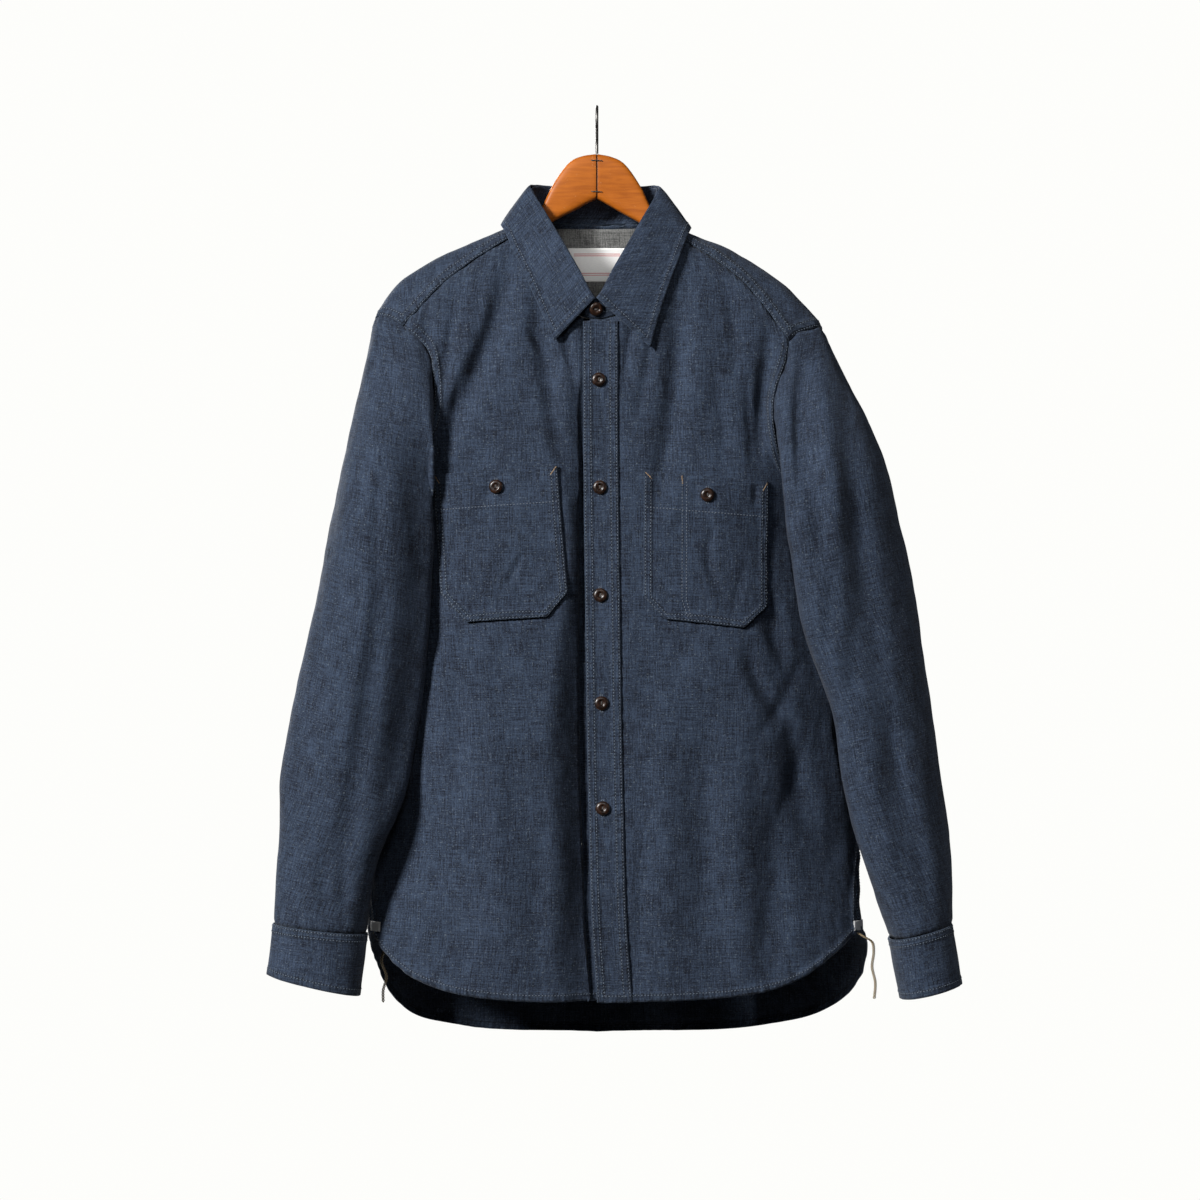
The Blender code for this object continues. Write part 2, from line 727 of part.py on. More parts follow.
def innerYokePanel():
    def at(s, t):
        x = mix(-innerYoke["across"], innerYoke["across"], s)
        top = np.maximum(innerYoke["top"], ridgeDown(x) + innerYoke["belowRidge"])
        down = mix(top, backSeamDown(x) - innerYoke["aboveSeam"], t)
        return offBody(x, down, 1, -layerStep - seamGap)

    return at


labelPlace = {"across": 27.8, "top": 128.5, "bottom": 160.2}


def labelPanel():
    def at(s, t):
        x = mix(-labelPlace["across"], labelPlace["across"], s)
        down = mix(labelPlace["top"], labelPlace["bottom"], t)
        return offBody(x, down, 1, -2 * layerStep - seamGap)

    return at


def placketPanel():
    def at(s, t):
        down = mix(placketTopDown, frontHemDown, t)
        x = follow(placketLine, "down", "across", down) + (s - 0.5) * placketWidth
        return offBody(x, down, -1, layerStep)

    return at


def pocketPanel(side):
    corners = pocketCorners[side]

    def edgePlace(names, t):
        shares = {"share": np.array([0.0, pocketCornerShare, 1.0])}
        upper = np.clip(t / pocketCornerShare, 0, 1)
        lower = np.clip((t - pocketCornerShare) / (1 - pocketCornerShare), 0, 1)
        rows = [np.array([corners["out"][i], corners["down"][i]]) for i in names]
        onUpper = (t < pocketCornerShare)[..., None]
        above = mix(rows[0], rows[1], upper[..., None])
        below = mix(rows[1], rows[2], lower[..., None])
        return np.where(onUpper, above, below)

    def at(s, t):
        inner = edgePlace((0, 1, 2), t)
        outer = edgePlace((5, 4, 3), t)
        placed = mix(inner, outer, s[..., None])
        return offBody(sideSign[side] * placed[..., 0], placed[..., 1], -1, clothWall + pocketGap)

    return at


def collarPlace(side, round_, rows):
    down = follow(rows, "round", "down", round_)
    x = sideSign[side] * follow(rows, "round", "out", round_)
    return x, down


def neckPoint(side, round_):
    x, down = collarPlace(side, round_, neckSeam[side])
    return onBody(x, down, np.where(round_ <= 1, -1, 1))


def foldPoint(side, round_):
    x, down = collarPlace(side, round_, collarFold[side])
    return np.stack(np.broadcast_arrays(x, follow(collarFold[side], "round", "back", round_), -down), -1)


leafColumns = 36
standOverlap = 0.11
leafSpread = 3.0          # how much further off the leaf's edge stands than its fold
foldStep = 0.03           # round the neck, for the fold's direction


def roundTheNeck(s, half, columns, overlap):
    # From the right front round the back to the left front. The leaf's columns and the
    # stand's are the same, but for the stand's own first and last one, which overlap.
    left = (s > 0.5)[..., None]
    fromBack = np.abs(2 * s - 1) * columns / 2
    round_ = np.interp(fromBack, [0, leafColumns / 2, leafColumns / 2 + 1], [2, 0, -overlap])
    return np.where(left, half("left", round_), half("right", round_))


def standPanel():
    def at(s, t):
        def half(side, round_):
            low = neckPoint(side, round_)
            high = foldPoint(side, round_)
            point = mix(low, high, t[..., None])
            length = np.linalg.norm(high - low, axis=-1)
            shift = mix(standFootClear, -standTopDrop, t)
            point = point + (high - low) / length[..., None] * shift[..., None]
            if side == "right":
                point[..., 1] += (collarWall + 2 * seamGap) * (1 - grown(round_, standUnder))
            return point

        return roundTheNeck(s, half, leafColumns + 2, standOverlap)

    return at


def leafPanel():
    def at(s, t):
        def half(side, round_):
            fold = foldPoint(side, round_)
            x, down = collarPlace(side, round_, collarEdge[side])
            edge = onBody(x, down, np.where(round_ <= 1, -1, 1))
            alongFold = foldPoint(side, round_ + foldStep) - foldPoint(side, round_ - foldStep)
            away = np.cross(edge - fold, alongFold) * sideSign[side]
            away = away / np.linalg.norm(away, axis=-1, keepdims=True)
            off = collarWall + seamGap + leafClear + collarLift * np.sqrt(t) * (1 - t) + leafSpread * t
            return mix(fold, edge, t[..., None]) + away * off[..., None]

        return roundTheNeck(s, half, leafColumns, standOverlap)

    return at


# ---- Sleeves ------------------------------------------------------------------------

sleeveTurns = (
    np.cumsum([0, strapColumns, frontArmRows, backArmRows, backStrapColumns]),
    [0, yokeFrontTurn, underarmTurn, yokeBackTurn, shoulderTurn],
)


sectionSquareness = 0.9   # below 1 the sections are fuller than an ellipse
sleeveAimShare = 0.06     # of the sections, where the sleeve's head aims
sleeveFoldTop = 0.08      # over which share of the sleeve its folds grow, and fade
sleeveFoldFoot = 0.04


def sectionPoint(rows, angle, share, spread=0.0):
    # A point of a sleeve's or a cuff's section: 0 outer, 90 front, 180 inner, 270 back.
    values = {name: follow(rows, "share", name, share) for name in rows if name != "share"}
    outer = pair(values["outerX"], -values["outerDown"])
    inner = pair(values["innerX"], -values["innerDown"])
    c = np.cos(np.radians(angle))
    d = np.sin(np.radians(angle))
    c = np.sign(c) * np.abs(c) ** sectionSquareness
    d = np.sign(d) * np.abs(d) ** sectionSquareness
    width = np.linalg.norm(outer - inner, axis=-1)
    grow = 1 + 2 * spread / width
    place = (outer + inner) / 2 + (outer - inner) / 2 * (c * grow)[..., None]
    y = values["back"] + values["lean"] * c - (values["depth"] + spread) * d
    return np.stack([place[..., 0], y, place[..., 1]], -1)


def sleevePanel(side):
    rows = sleeveSections[side]
    sign = np.array([sideSign[side], 1.0, 1.0])

    def seamPoint(turn):
        wrap, down = armholePlace(side, turn)
        return onWrap(side, wrap, down) * sign

    def at(s, t):
        turn = np.interp(s * sleeveColumns, *sleeveTurns)
        angle = np.minimum(follow(sleeveHead, "turn", "angle", turn), 360)
        headT = np.clip(t / sleeveHeadShare, 0, 1)[..., None]
        bodyT = np.clip((t - sleeveHeadShare) / (1 - sleeveHeadShare), 0, 1)
        first = sectionPoint(rows, angle, np.zeros_like(s))
        after = sectionPoint(rows, angle, np.full(s.shape, sleeveAimShare))
        seam = seamPoint(turn)
        span = np.linalg.norm(first - seam, axis=-1, keepdims=True)
        forward = follow(sleeveHead, "turn", "forward", turn)
        aside = follow(sleeveHead, "turn", "aside", turn)
        leave = (first - seam) + np.stack([aside, -forward, 0 * s], -1)
        arrive = (after - first) / np.linalg.norm(after - first, axis=-1, keepdims=True) * span
        start = seam + leave / np.linalg.norm(leave, axis=-1, keepdims=True) * sleeveSeamGap
        start[..., 1] -= follow(sleeveHead, "turn", "proud", turn)
        head = (
            start * (1 + 2 * headT) * (1 - headT) ** 2
            + leave * headT * (1 - headT) ** 2
            + first * headT**2 * (3 - 2 * headT)
            - arrive * headT**2 * (1 - headT)
        )
        point = np.where(headT < 1, head, sectionPoint(rows, angle, bodyT)) * sign
        return creased(side, point, angle, ease(t / sleeveFoldTop) * ease((1 - t) / sleeveFoldFoot))

    return at


def creased(side, point, angle, amount):
    # The sleeve's folds, those of its front on the front and those of its back behind.
    facing = np.sin(np.radians(angle))
    front = foldSink(sleeveFolds[side], point[..., 0], -point[..., 2]) * np.maximum(facing, 0) ** foldFacing
    back = foldSink(sleeveBackFolds[side], point[..., 0], -point[..., 2])
    back = back * np.maximum(-facing, 0) ** foldFacing
    point[..., 1] += (front - back) * amount
    return point


def sleevePlacketPanel(side):
    # A strip over the sleeve's opening, above the cuff.
    sign = np.array([sideSign[side], 1.0, 1.0])

    def under(s, t):
        angle = cuffOpeningAngle[side] + sleevePlacketAngle * (s - 0.5)
        share = mix(sleevePlacketTop, sleevePlacketFoot, t)
        whole = (share - sleeveHeadShare) / (1 - sleeveHeadShare)
        point = sectionPoint(sleeveSections[side], angle, whole) * sign
        return creased(side, point, angle, ease((1 - share) / sleeveFoldFoot))

    def at(s, t):
        return under(s, t) + wayOut(under, s, t, side == "right", False) * (layerStep + 1.5 * seamGap)

    return at


def cuffPanel(side):
    sign = np.array([sideSign[side], 1.0, 1.0])

    def at(s, t):
        angle = cuffOpeningAngle[side] + (360 + cuffOverlapAngle) * s
        under = 1 - grown(s, cuffUnder)
        spread = cuffEase - under * (cuffWall + cuffLapGap)
        return sectionPoint(cuffSections[side], angle, t, spread) * sign

    return at


def frontAxis(x, down):
    return offBody(x, down, -1, 1.0) - offBody(x, down, -1, 0.0)


# ---- Making the objects ---------------------------------------------------------------

def addObject(name, mesh, material):
    made = bpy.data.objects.new(name, mesh)
    mesh.materials.append(material)
    bpy.context.scene.collection.objects.link(made)
    return made


def addMaterial(name, colour, roughness, metallic=0.0):
    material = bpy.data.materials.new(name)
    material.use_nodes = True
    shader = material.node_tree.nodes["Principled BSDF"]
    shader.inputs["Base Color"].default_value = (*colour, 1)
    shader.inputs["Roughness"].default_value = roughness
    shader.inputs["Metallic"].default_value = metallic
    return material


def addSheet(name, panel, across, along, wall, material, flip=False, closed=False):
    # A grid laid on the panel's outer surface, with its wall on the inside. Flip says that
    # the columns run the other way round, and closed that the last one is the first.
    bm = bmesh.new()
    bmesh.ops.create_grid(bm, x_segments=across, y_segments=along, size=0.5)
    s, t = np.round([(vert.co.x + 0.5, vert.co.y + 0.5) for vert in bm.verts], 7).T
    if closed:
        s = s % 1.0
    outer = panel(s, t) * METRES
    inner = outer - wayOut(panel, s, t, flip, closed) * wall * METRES
    number = bm.verts.layers.int.new("number")
    for i, vert in enumerate(bm.verts):
        vert.co = outer[i]
        vert[number] = i
    if closed:
        bmesh.ops.remove_doubles(bm, verts=bm.verts, dist=1e-6)
    for face in bm.faces:
        face.smooth = True
    made = bmesh.ops.extrude_face_region(bm, geom=bm.faces[:])
    for vert in made["geom"]:
        if isinstance(vert, bmesh.types.BMVert):
            vert.co = inner[vert[number]]
    bmesh.ops.recalc_face_normals(bm, faces=bm.faces)
    if bm.calc_volume(signed=True) < 0:
        bmesh.ops.reverse_faces(bm, faces=bm.faces)
    mesh = bpy.data.meshes.new(name)
    bm.to_mesh(mesh)
    bm.free()
    return addObject(name, mesh, material)


def addTurned(name, profile, place, axis, material, sides):
    # A round piece from (radius, height) rows, standing at a place along an axis.
    bm = bmesh.new()
    verts = [bm.verts.new((radius * METRES, 0, height * METRES)) for radius, height in profile]
    edges = [bm.edges.new(ends) for ends in zip(verts, verts[1:])]
    bmesh.ops.spin(
        bm, geom=verts + edges, axis=(0, 0, 1), cent=(0, 0, 0), steps=sides, angle=2 * math.pi,
        use_merge=True, use_duplicate=False,
    )
    bmesh.ops.remove_doubles(bm, verts=bm.verts, dist=1e-6)
    bmesh.ops.recalc_face_normals(bm, faces=bm.faces)
    for face in bm.faces:
        face.smooth = True
    mesh = bpy.data.meshes.new(name)
    bm.to_mesh(mesh)
    bm.free()
    made = addObject(name, mesh, material)
    made.location = Vector(place) * METRES
    made.rotation_euler = Vector(axis).to_track_quat("Z", "Y").to_euler()
    return made


buttonProfile = (
    (0, 0), (0.78 * buttonRadius, 0), (buttonRadius, 0.9), (buttonRadius, 2.1),
    (0.86 * buttonRadius, buttonHeight),
    (0.66 * buttonRadius, 2.2), (0, 2.0),
)


def addButton(name, place, axis, material):
    return addTurned(name, buttonProfile, place + axis * seamGap, axis, material, buttonSides)


def addButtonOn(name, panel, s, t, flip, material):
    s = np.array([s])
    t = np.array([t])
    addButton(name, panel(s, t)[0], wayOut(panel, s, t, flip, False)[0], material)


def addTube(name, points, thickness, material):
    curve = bpy.data.curves.new(name, "CURVE")
    curve.dimensions = "3D"
    curve.bevel_depth = thickness / 2 * METRES
    curve.bevel_resolution = 1
    curve.use_fill_caps = True
    spline = curve.splines.new("POLY")
    spline.points.add(len(points) - 1)
    for place, point in zip(spline.points, points):
        place.co = (*(METRES * value for value in point), 1)
    spline.use_smooth = True
    return addObject(name, curve, material)


# ---- The hanger -----------------------------------------------------------------------

hangerArm = table(
    "share topOut topDown lowOut lowDown thick",
    (0, 0, 43.5, 0, 86, 13), (0.08, 14, 45.6, 10, 91, 13), (0.16, 26, 51.5, 20, 96.5, 13),
    (0.26, 42.5, 74, 32, 102.5, 13),
    (0.34, 54, 96.2, 46, 110, 13), (0.41, 70, 109.8, 61, 120, 13), (0.5, 88, 118.0, 78, 131, 13),
    (0.66, 122, 132.5, 112, 152, 12.6),
    (0.84, 164, 153.5, 154, 177, 12), (0.95, 183, 166.5, 176, 186, 11), (1, 190, 174, 184, 188.5, 9),
)
armSides = 12
armFlatness = 0.45        # below 1 a section's corners are fuller than an ellipse's
armSquareness = 0.55
hangerTilt = 0.052        # the hanger hangs a little down to the wearer's left


def armRing(sign, share):
    values = {name: float(follow(hangerArm, "share", name, share)) for name in hangerArm if name != "share"}
    top = np.array([values["topOut"], -values["topDown"]])
    low = np.array([values["lowOut"], -values["lowDown"]])
    ring = []
    for step in range(armSides):
        angle = 2 * math.pi * (step + 0.5) / armSides
        c = math.cos(angle)
        d = math.sin(angle)
        high = math.copysign(abs(c) ** armFlatness, c)
        deep = math.copysign(abs(d) ** armSquareness, d)
        place = (top + low) / 2 + (top - low) / 2 * high
        sag = hangerTilt * place[0] if sign > 0 else 0.0
        ring.append((sign * (place[0] + seamGap / 2), deep * values["thick"] / 2, place[1] - sag))
    return ring


def addHangerArm(side, material):
    name = "hanger_arm_" + side
    bm = bmesh.new()
    rings = []
    for share in hangerArm["share"]:
        rings.append([bm.verts.new(np.array(point) * METRES) for point in armRing(sideSign[side], share)])
    for ring in rings:
        for first, second in zip(ring, ring[1:] + ring[:1]):
            bm.edges.new((first, second))
    for near, far in zip(rings, rings[1:]):
        edges = [edge for edge in bm.edges if set(edge.verts) <= set(near) or set(edge.verts) <= set(far)]
        bmesh.ops.bridge_loops(bm, edges=edges)
    bm.faces.new(rings[0])
    bm.faces.new(rings[-1])
    bmesh.ops.recalc_face_normals(bm, faces=bm.faces)
    for face in bm.faces:
        face.smooth = len(face.verts) == 4
    mesh = bpy.data.meshes.new(name)
    bm.to_mesh(mesh)
    bm.free()
    return addObject(name, mesh, material)


hookFootDown = 43.2 - seamGap


def hookRoute():
    # Straight up from the wood, out to the back, over the rail's place and down in front.
    radius = hookInnerRadius + hookWire / 2
    centreDown = hookInnerRadius
    points = [(0, back, -hookFootDown + up) for back, up in ((0, 0), (0, 6), (0.6, 9), (3.2, 12))]
    for degrees in range(-40, 216, 15):
        angle = math.radians(degrees)
        points.append((0, radius * math.cos(angle), -centreDown + radius * math.sin(angle)))
    return points


# ---- Loose ends at the side seams --------------------------------------------------------

sideTab = {"right": (207.0, 774.5), "left": (245.5, 774.5)}
sideTabSize = (9.0, 9.0)
threadTail = {
    "right": table(
        "out down back", (210.2, 780.7, -19.7), (204.5, 787, -17), (201, 794, -13.5), (203.5, 808, -14),
        (199, 824, -13), (202, 836, -14), (202, 847.5, -14),
    ),
    "left": table(
        "out down back", (245.5, 780.7, -19.7), (252, 784.5, -21.5), (260, 790, -18), (262, 800, -13),
        (260.5, 814, -12), (263.5, 829, -13), (262.5, 844, -13),
    ),
}


def sideTabPanel(side):
    def at(s, t):
        x = sideSign[side] * (sideTab[side][0] + (s - 0.5) * sideTabSize[0])
        return offBody(x, sideTab[side][1] + (t - 0.5) * sideTabSize[1], -1, layerStep + seamGap)

    return at


# Columns and rows of the panels that share no seam's corners with another.
panelGrid = {
    "inner_yoke": (12, 6),
    "neck_label": (4, 3),
    "front_placket": (3, 26),
    "pocket": (8, 10),
    "sleeve_placket": (2, 8),
    "cuff": (30, 3),
    "side_tab": (2, 2),
}
standRows = 3
leafRows = 4


def main():
    for old in list(bpy.data.objects):
        bpy.data.objects.remove(old)
    chambray = addMaterial("chambray", (0.072, 0.098, 0.150), 0.85)
    yokeLining = addMaterial("yoke_lining", (0.27, 0.28, 0.29), 0.9)
    labelCloth = addMaterial("label_cloth", (0.80, 0.78, 0.75), 0.55)
    buttonBrown = addMaterial("button_brown", (0.060, 0.030, 0.018), 0.25)
    hangerWood = addMaterial("hanger_wood", (0.52, 0.20, 0.055), 0.42)
    hookSteel = addMaterial("hook_steel", (0.20, 0.20, 0.20), 0.35, 1.0)
    threadOlive = addMaterial("thread_olive", (0.20, 0.16, 0.09), 0.9)
    selvedge = addMaterial("selvedge", (0.55, 0.55, 0.55), 0.85)

    backRows = backArmRows + sideRows
    frontRows = frontArmRows + sideRows
    addSheet("back", backPanel(), 2 * backSeamColumns, backRows, clothWall, chambray)
    addSheet("yoke", yokePanel(), 2 * yokeHalfColumns, yokeSeamColumns, clothWall, chambray)
    addSheet("inner_yoke", innerYokePanel(), *panelGrid["inner_yoke"], clothWall, yokeLining)
    addSheet("neck_label", labelPanel(), *panelGrid["neck_label"], labelWall, labelCloth)
    addSheet("front_placket", placketPanel(), *panelGrid["front_placket"], clothWall, chambray, flip=True)
    addSheet("collar_stand", standPanel(), leafColumns + 2, standRows, collarWall, chambray, flip=True)
    addSheet("collar_leaf", leafPanel(), leafColumns, leafRows, collarWall, chambray)
    addButtonOn("collar_button", standPanel(), *collarButtonAt, True, buttonBrown)
    for side in ("right", "left"):
        left = side == "left"
        addSheet("front_" + side, frontPanel(side), frontColumns, frontRows, clothWall, chambray, left)
        addSheet("pocket_" + side, pocketPanel(side), *panelGrid["pocket"], clothWall, chambray, left)
        addSheet(
            "sleeve_" + side, sleevePanel(side), sleeveColumns, sleeveRows, clothWall, chambray, not left,
            closed=True,
        )
        addSheet(
            "sleeve_placket_" + side, sleevePlacketPanel(side), *panelGrid["sleeve_placket"], clothWall,
            chambray, not left,
        )
        addSheet("cuff_" + side, cuffPanel(side), *panelGrid["cuff"], cuffWall, chambray, not left)
        addSheet("side_tab_" + side, sideTabPanel(side), *panelGrid["side_tab"], clothWall, selvedge, left)
        addButtonOn("cuff_button_" + side, cuffPanel(side), *cuffButtonAt, not left, buttonBrown)
        addHangerArm(side, hangerWood)
        x, down = pocketButtonPlaces[side]
        place = offBody(x, down, -1, clothWall + pocketGap)
        addButton("pocket_button_" + side, place, frontAxis(x, down), buttonBrown)
        tail = threadTail[side]
        route = np.stack([sideSign[side] * tail["out"], tail["back"], -tail["down"]], -1)
        addTube("thread_tail_" + side, route, threadThickness, threadOlive)
    for name, (x, down) in buttonPlaces.items():
        addButton(name, offBody(x, down, -1, layerStep), frontAxis(x, down), buttonBrown)
    addTube("hanger_hook", hookRoute(), hookWire, hookSteel)


main()
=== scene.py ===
# A chambray work shirt on a wooden hanger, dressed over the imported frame.
#
# Lengths are in millimetres until a mesh is made. X runs to the wearer's left, the front
# faces -Y, and "down" is the distance below the origin, so z = -down. "Out" is the
# distance from the middle plane, and left and right are the wearer's.

import functools
import math

import bmesh
import bpy
import numpy as np
from mathutils import Matrix, Vector, noise


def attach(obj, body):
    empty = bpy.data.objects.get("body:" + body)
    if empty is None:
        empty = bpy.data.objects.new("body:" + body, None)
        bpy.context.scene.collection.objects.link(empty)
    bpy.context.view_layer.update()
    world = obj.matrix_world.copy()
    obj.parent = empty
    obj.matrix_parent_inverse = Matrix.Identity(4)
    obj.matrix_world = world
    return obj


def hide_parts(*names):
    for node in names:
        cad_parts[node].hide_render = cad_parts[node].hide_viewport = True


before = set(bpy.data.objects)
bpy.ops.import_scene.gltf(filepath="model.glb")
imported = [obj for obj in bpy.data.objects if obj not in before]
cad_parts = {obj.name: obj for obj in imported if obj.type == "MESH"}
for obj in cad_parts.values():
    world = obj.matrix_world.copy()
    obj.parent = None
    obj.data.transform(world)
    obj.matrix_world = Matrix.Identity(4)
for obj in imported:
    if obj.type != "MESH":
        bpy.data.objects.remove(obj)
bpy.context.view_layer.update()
metre = 0.001
print("frame loaded")

view = {"across": 3.0, "away": 3100.0, "down": 467.0, "field": 1140.0, "sensor": 36.0}


def addCamera():
    data = bpy.data.cameras.new("camera")
    data.sensor_width = view["sensor"]
    data.lens = view["sensor"] * view["away"] / view["field"]
    data.clip_end = 50
    made = bpy.data.objects.new("camera", data)
    made.location = Vector((view["across"], -view["away"], -view["down"])) * metre
    made.rotation_euler = (math.pi / 2, 0, 0)
    bpy.context.scene.collection.objects.link(made)
    bpy.context.scene.camera = made


addCamera()

clothWall = 1.2
collarWall = 1.8
cuffWall = 1.8
labelWall = 0.6
sleevePlacketWall = 2.2 * clothWall   # it lies double on the sleeve
seamGap = 0.3
seamStep = 1.4 * seamGap   # down a sloping seam
layerStep = clothWall + seamGap

placketWidth = 32.7
pocketGap = 1.3
pocketLift = clothWall + pocketGap

hookWire = 3.0
hookInnerRadius = 12.0

ridgeHalfDepth = 9.6      # half the cloth's depth where it lies over the hanger's arms
ridgeTilt = 0.88          # distance across a shoulder's slope for each mm down
chestDepth = 50.0         # from the middle plane to the front's middle, at the chest
hemDepth = 67.0
backDepth = 52.0
backHemDepth = 68.0
frontFullness = 70.0      # how soon the front and the back swell below the shoulders
backFullness = 42.0
sideRoundness = 3.2
sideSharpness = 8.0       # how late the folds and the bed fade towards the side
sideSpacing = 1.5         # packs a panel's columns closer near the side seam
armBedBack = 18.0         # how far the sleeve that hangs there presses the side back
armBedFront = 10.0
armBedWidth = 24.0
# Each pair is where something begins, down or round, and over how far it grows or fades.
armBedTop = (235.0, 50.0)
armBedFoot = (705.0, 75.0)
sideBackTop = (250.0, 110.0)
sideBackFoot = (690.0, 90.0)
sideBackAcross = (0.55, 0.35)
frontSwell = (260.0, 560.0)
backSwell = (300.0, 520.0)
placketHold = (0.5, 7.0)  # no fold sinks this near to the placket
underlapRamp = (-20.0, 6.0)
standUnder = (0.13, 0.2)
cuffUnder = (0.09, 0.12)

sideSign = {"right": -1.0, "left": 1.0}


def table(columns, *rows):
    return {name: np.array(values, float) for name, values in zip(columns.split(), zip(*rows))}


def follow(rows, key, column, at):
    # A smooth curve through the rows of a table.
    xs = rows[key]
    ys = rows[column]
    at = np.clip(np.asarray(at, float), xs[0], xs[-1])
    slope = np.gradient(ys, xs)
    i = np.clip(np.searchsorted(xs, at, side="right") - 1, 0, len(xs) - 2)
    step = xs[i + 1] - xs[i]
    t = (at - xs[i]) / step
    return (
        ys[i] * (1 + 2 * t) * (1 - t) ** 2
        + slope[i] * step * t * (1 - t) ** 2
        + ys[i + 1] * t**2 * (3 - 2 * t)
        - slope[i + 1] * step * t**2 * (1 - t)
    )


def ease(t):
    t = np.clip(t, 0.0, 1.0)
    return t * t * (3 - 2 * t)


def grown(at, ramp):
    return ease((at - ramp[0]) / ramp[1])


def mix(a, b, t):
    return a + (b - a) * t


# The top of the shoulders, carried on over the neck opening.
shoulderLine = {
    "right": table(
        "out down",
        (0, 90), (40, 94), (70, 105.5), (88, 113.6), (120, 128), (166, 150), (197, 176.5), (212, 200),
        (230, 245),
    ),
    "left": table(
        "out down",
        (0, 90), (40, 95), (70, 107.5), (88, 118), (125, 134.5), (160, 154.5), (194, 183.6), (214, 210),
        (232, 255),
    ),
}
# How far the body reaches out. Above the underarm the armhole cuts it off before that.
sideLine = {
    "right": table(
        "down out",
        (90, 340), (200, 330), (290, 262), (386, 222), (480, 226), (600, 226), (700, 221), (785, 216.5),
        (900, 216.5),
    ),
    "left": table(
        "down out",
        (90, 345), (205, 335), (300, 270), (396, 230), (480, 240), (600, 245), (700, 249), (773, 251.5),
        (792, 256), (830, 260), (900, 262),
    ),
}
# The sleeve's inner edge, as it lies over the front.
sleeveInner = {
    "right": table(
        "down out", (250, 153), (400, 152), (467, 153), (556, 163), (666, 181), (723, 208), (763, 215),
    ),
    "left": table(
        "down out",
        (250, 172), (344, 174), (392, 177), (467, 186), (501, 195), (535, 215), (600, 221), (650, 232),
        (701, 245), (761, 268),
    ),
}
# Where the side seam lies round the body: 1 is the very side, less is on the front.
sideSeam = table("down wrap", (380, 1.0), (650, 1.0), (740, 0.94), (790, 0.90), (900, 0.90))

# The armhole, turned through from the shoulder point down the front, under and up the back.
# Face is -1 on the front, 0 on the side seam and 1 on the back.
armhole = {
    "right": table(
        "turn out down face",
        (0, 212, 199.6, -1), (14, 208, 197.5, -1), (27, 202, 198, -1), (52, 182.6, 208.9, -1),
        (72, 159.5, 231, -1), (93, 153.5, 262, -1), (121, 156, 305, -1), (149, 172, 344, -1),
        (178, 199, 372, -1), (200, 222, 386, 0), (220, 221, 364, 1), (260, 207, 316, 1),
        (300, 193, 268, 1), (322, 193, 245, 1), (342, 205, 215, 1), (360, 212, 199.6, 1),
    ),
    "left": table(
        "turn out down face",
        (0, 214, 209.6, -1), (14, 210, 208.5, -1), (27, 204, 210, -1), (52, 181.8, 223.5, -1),
        (65, 178, 243, -1), (88, 167, 275, -1), (114, 168, 312, -1), (145, 180, 352, -1),
        (178, 208, 382, -1), (200, 230, 396, 0), (220, 228, 372, 1), (260, 214, 322, 1),
        (300, 198, 276, 1), (322, 195, 253, 1), (342, 206, 226, 1), (360, 214, 209.6, 1),
    ),
}
yokeFrontTurn = 52.0
underarmTurn = 200.0
yokeBackTurn = 322.0
shoulderTurn = 360.0

# The neck seam, from the front's middle (0) over the shoulder (1) to the back's middle (2).
neckSeam = {
    "right": table(
        "round out down face",
        (-0.15, -17, 203.2, -1), (0, 0, 204, -1), (0.12, 14, 202.5, -1), (0.25, 29, 192.5, -1),
        (0.5, 52, 160, -1), (0.75, 65, 129, -1), (0.88, 68.4, 115.5, -1), (1, 70, 105.5, -1),
        (1.2, 66, 106.2, 1), (1.5, 50, 107.8, 1), (1.75, 26, 109.2, 1), (2, 0, 109.6, 1),
    ),
    "left": table(
        "round out down face",
        (-0.15, -17, 203.2, -1), (0, 0, 204, -1), (0.12, 14, 202.5, -1), (0.25, 29, 193.5, -1),
        (0.5, 51, 163, -1), (0.75, 63.5, 133, -1), (0.88, 67, 118.5, -1), (1, 68.5, 106.8, -1),
        (1.2, 65, 107.4, 1), (1.5, 50, 108.2, 1), (1.75, 26, 109.2, 1), (2, 0, 109.6, 1),
    ),
}
yokeNeckRound = 0.88
# The fold at the top of the collar, and the collar leaf's outer edge.
collarFold = {
    "right": table(
        "round out back down",
        (-0.15, -9, -46.5, 187), (0, 0.6, -46, 184), (0.25, 16.2, -41, 156.5), (0.5, 31.8, -33, 129),
        (0.75, 47.4, -20, 101.5), (1, 61.5, -4, 76), (1.2, 57, 11, 72), (1.5, 40, 25, 70.5),
        (1.75, 21, 30, 69.8), (2, 0, 31.5, 69.5),
    ),
    "left": table(
        "round out back down",
        (-0.15, -11, -46.5, 187), (0, -1, -46, 184), (0.25, 14, -41, 157.5), (0.5, 29, -33, 131),
        (0.75, 44, -20, 104), (1, 57.5, -4, 78), (1.2, 54, 11, 73), (1.5, 38, 25, 71),
        (1.75, 20, 30, 70), (2, 0, 31.5, 69.5),
    ),
}
collarEdge = {
    "right": table(
        "round out down face",
        (0, 39.1, 224, -1), (0.25, 52, 195, -1), (0.5, 66, 163, -1), (0.75, 78.5, 136.5, -1),
        (1, 87.5, 114.2, -1), (1.2, 84, 114.2, 1), (1.5, 62, 115, 1), (1.75, 34, 117, 1),
        (2, 0, 118, 1),
    ),
    "left": table(
        "round out down face",
        (0, 49.5, 230.8, -1), (0.25, 58, 199, -1), (0.5, 68, 168, -1), (0.75, 78.5, 140, -1),
        (1, 86, 117.6, -1), (1.2, 82, 116.2, 1), (1.5, 61, 116, 1), (1.75, 34, 117, 1), (2, 0, 118, 1),
    ),
}
collarLift = 3.2
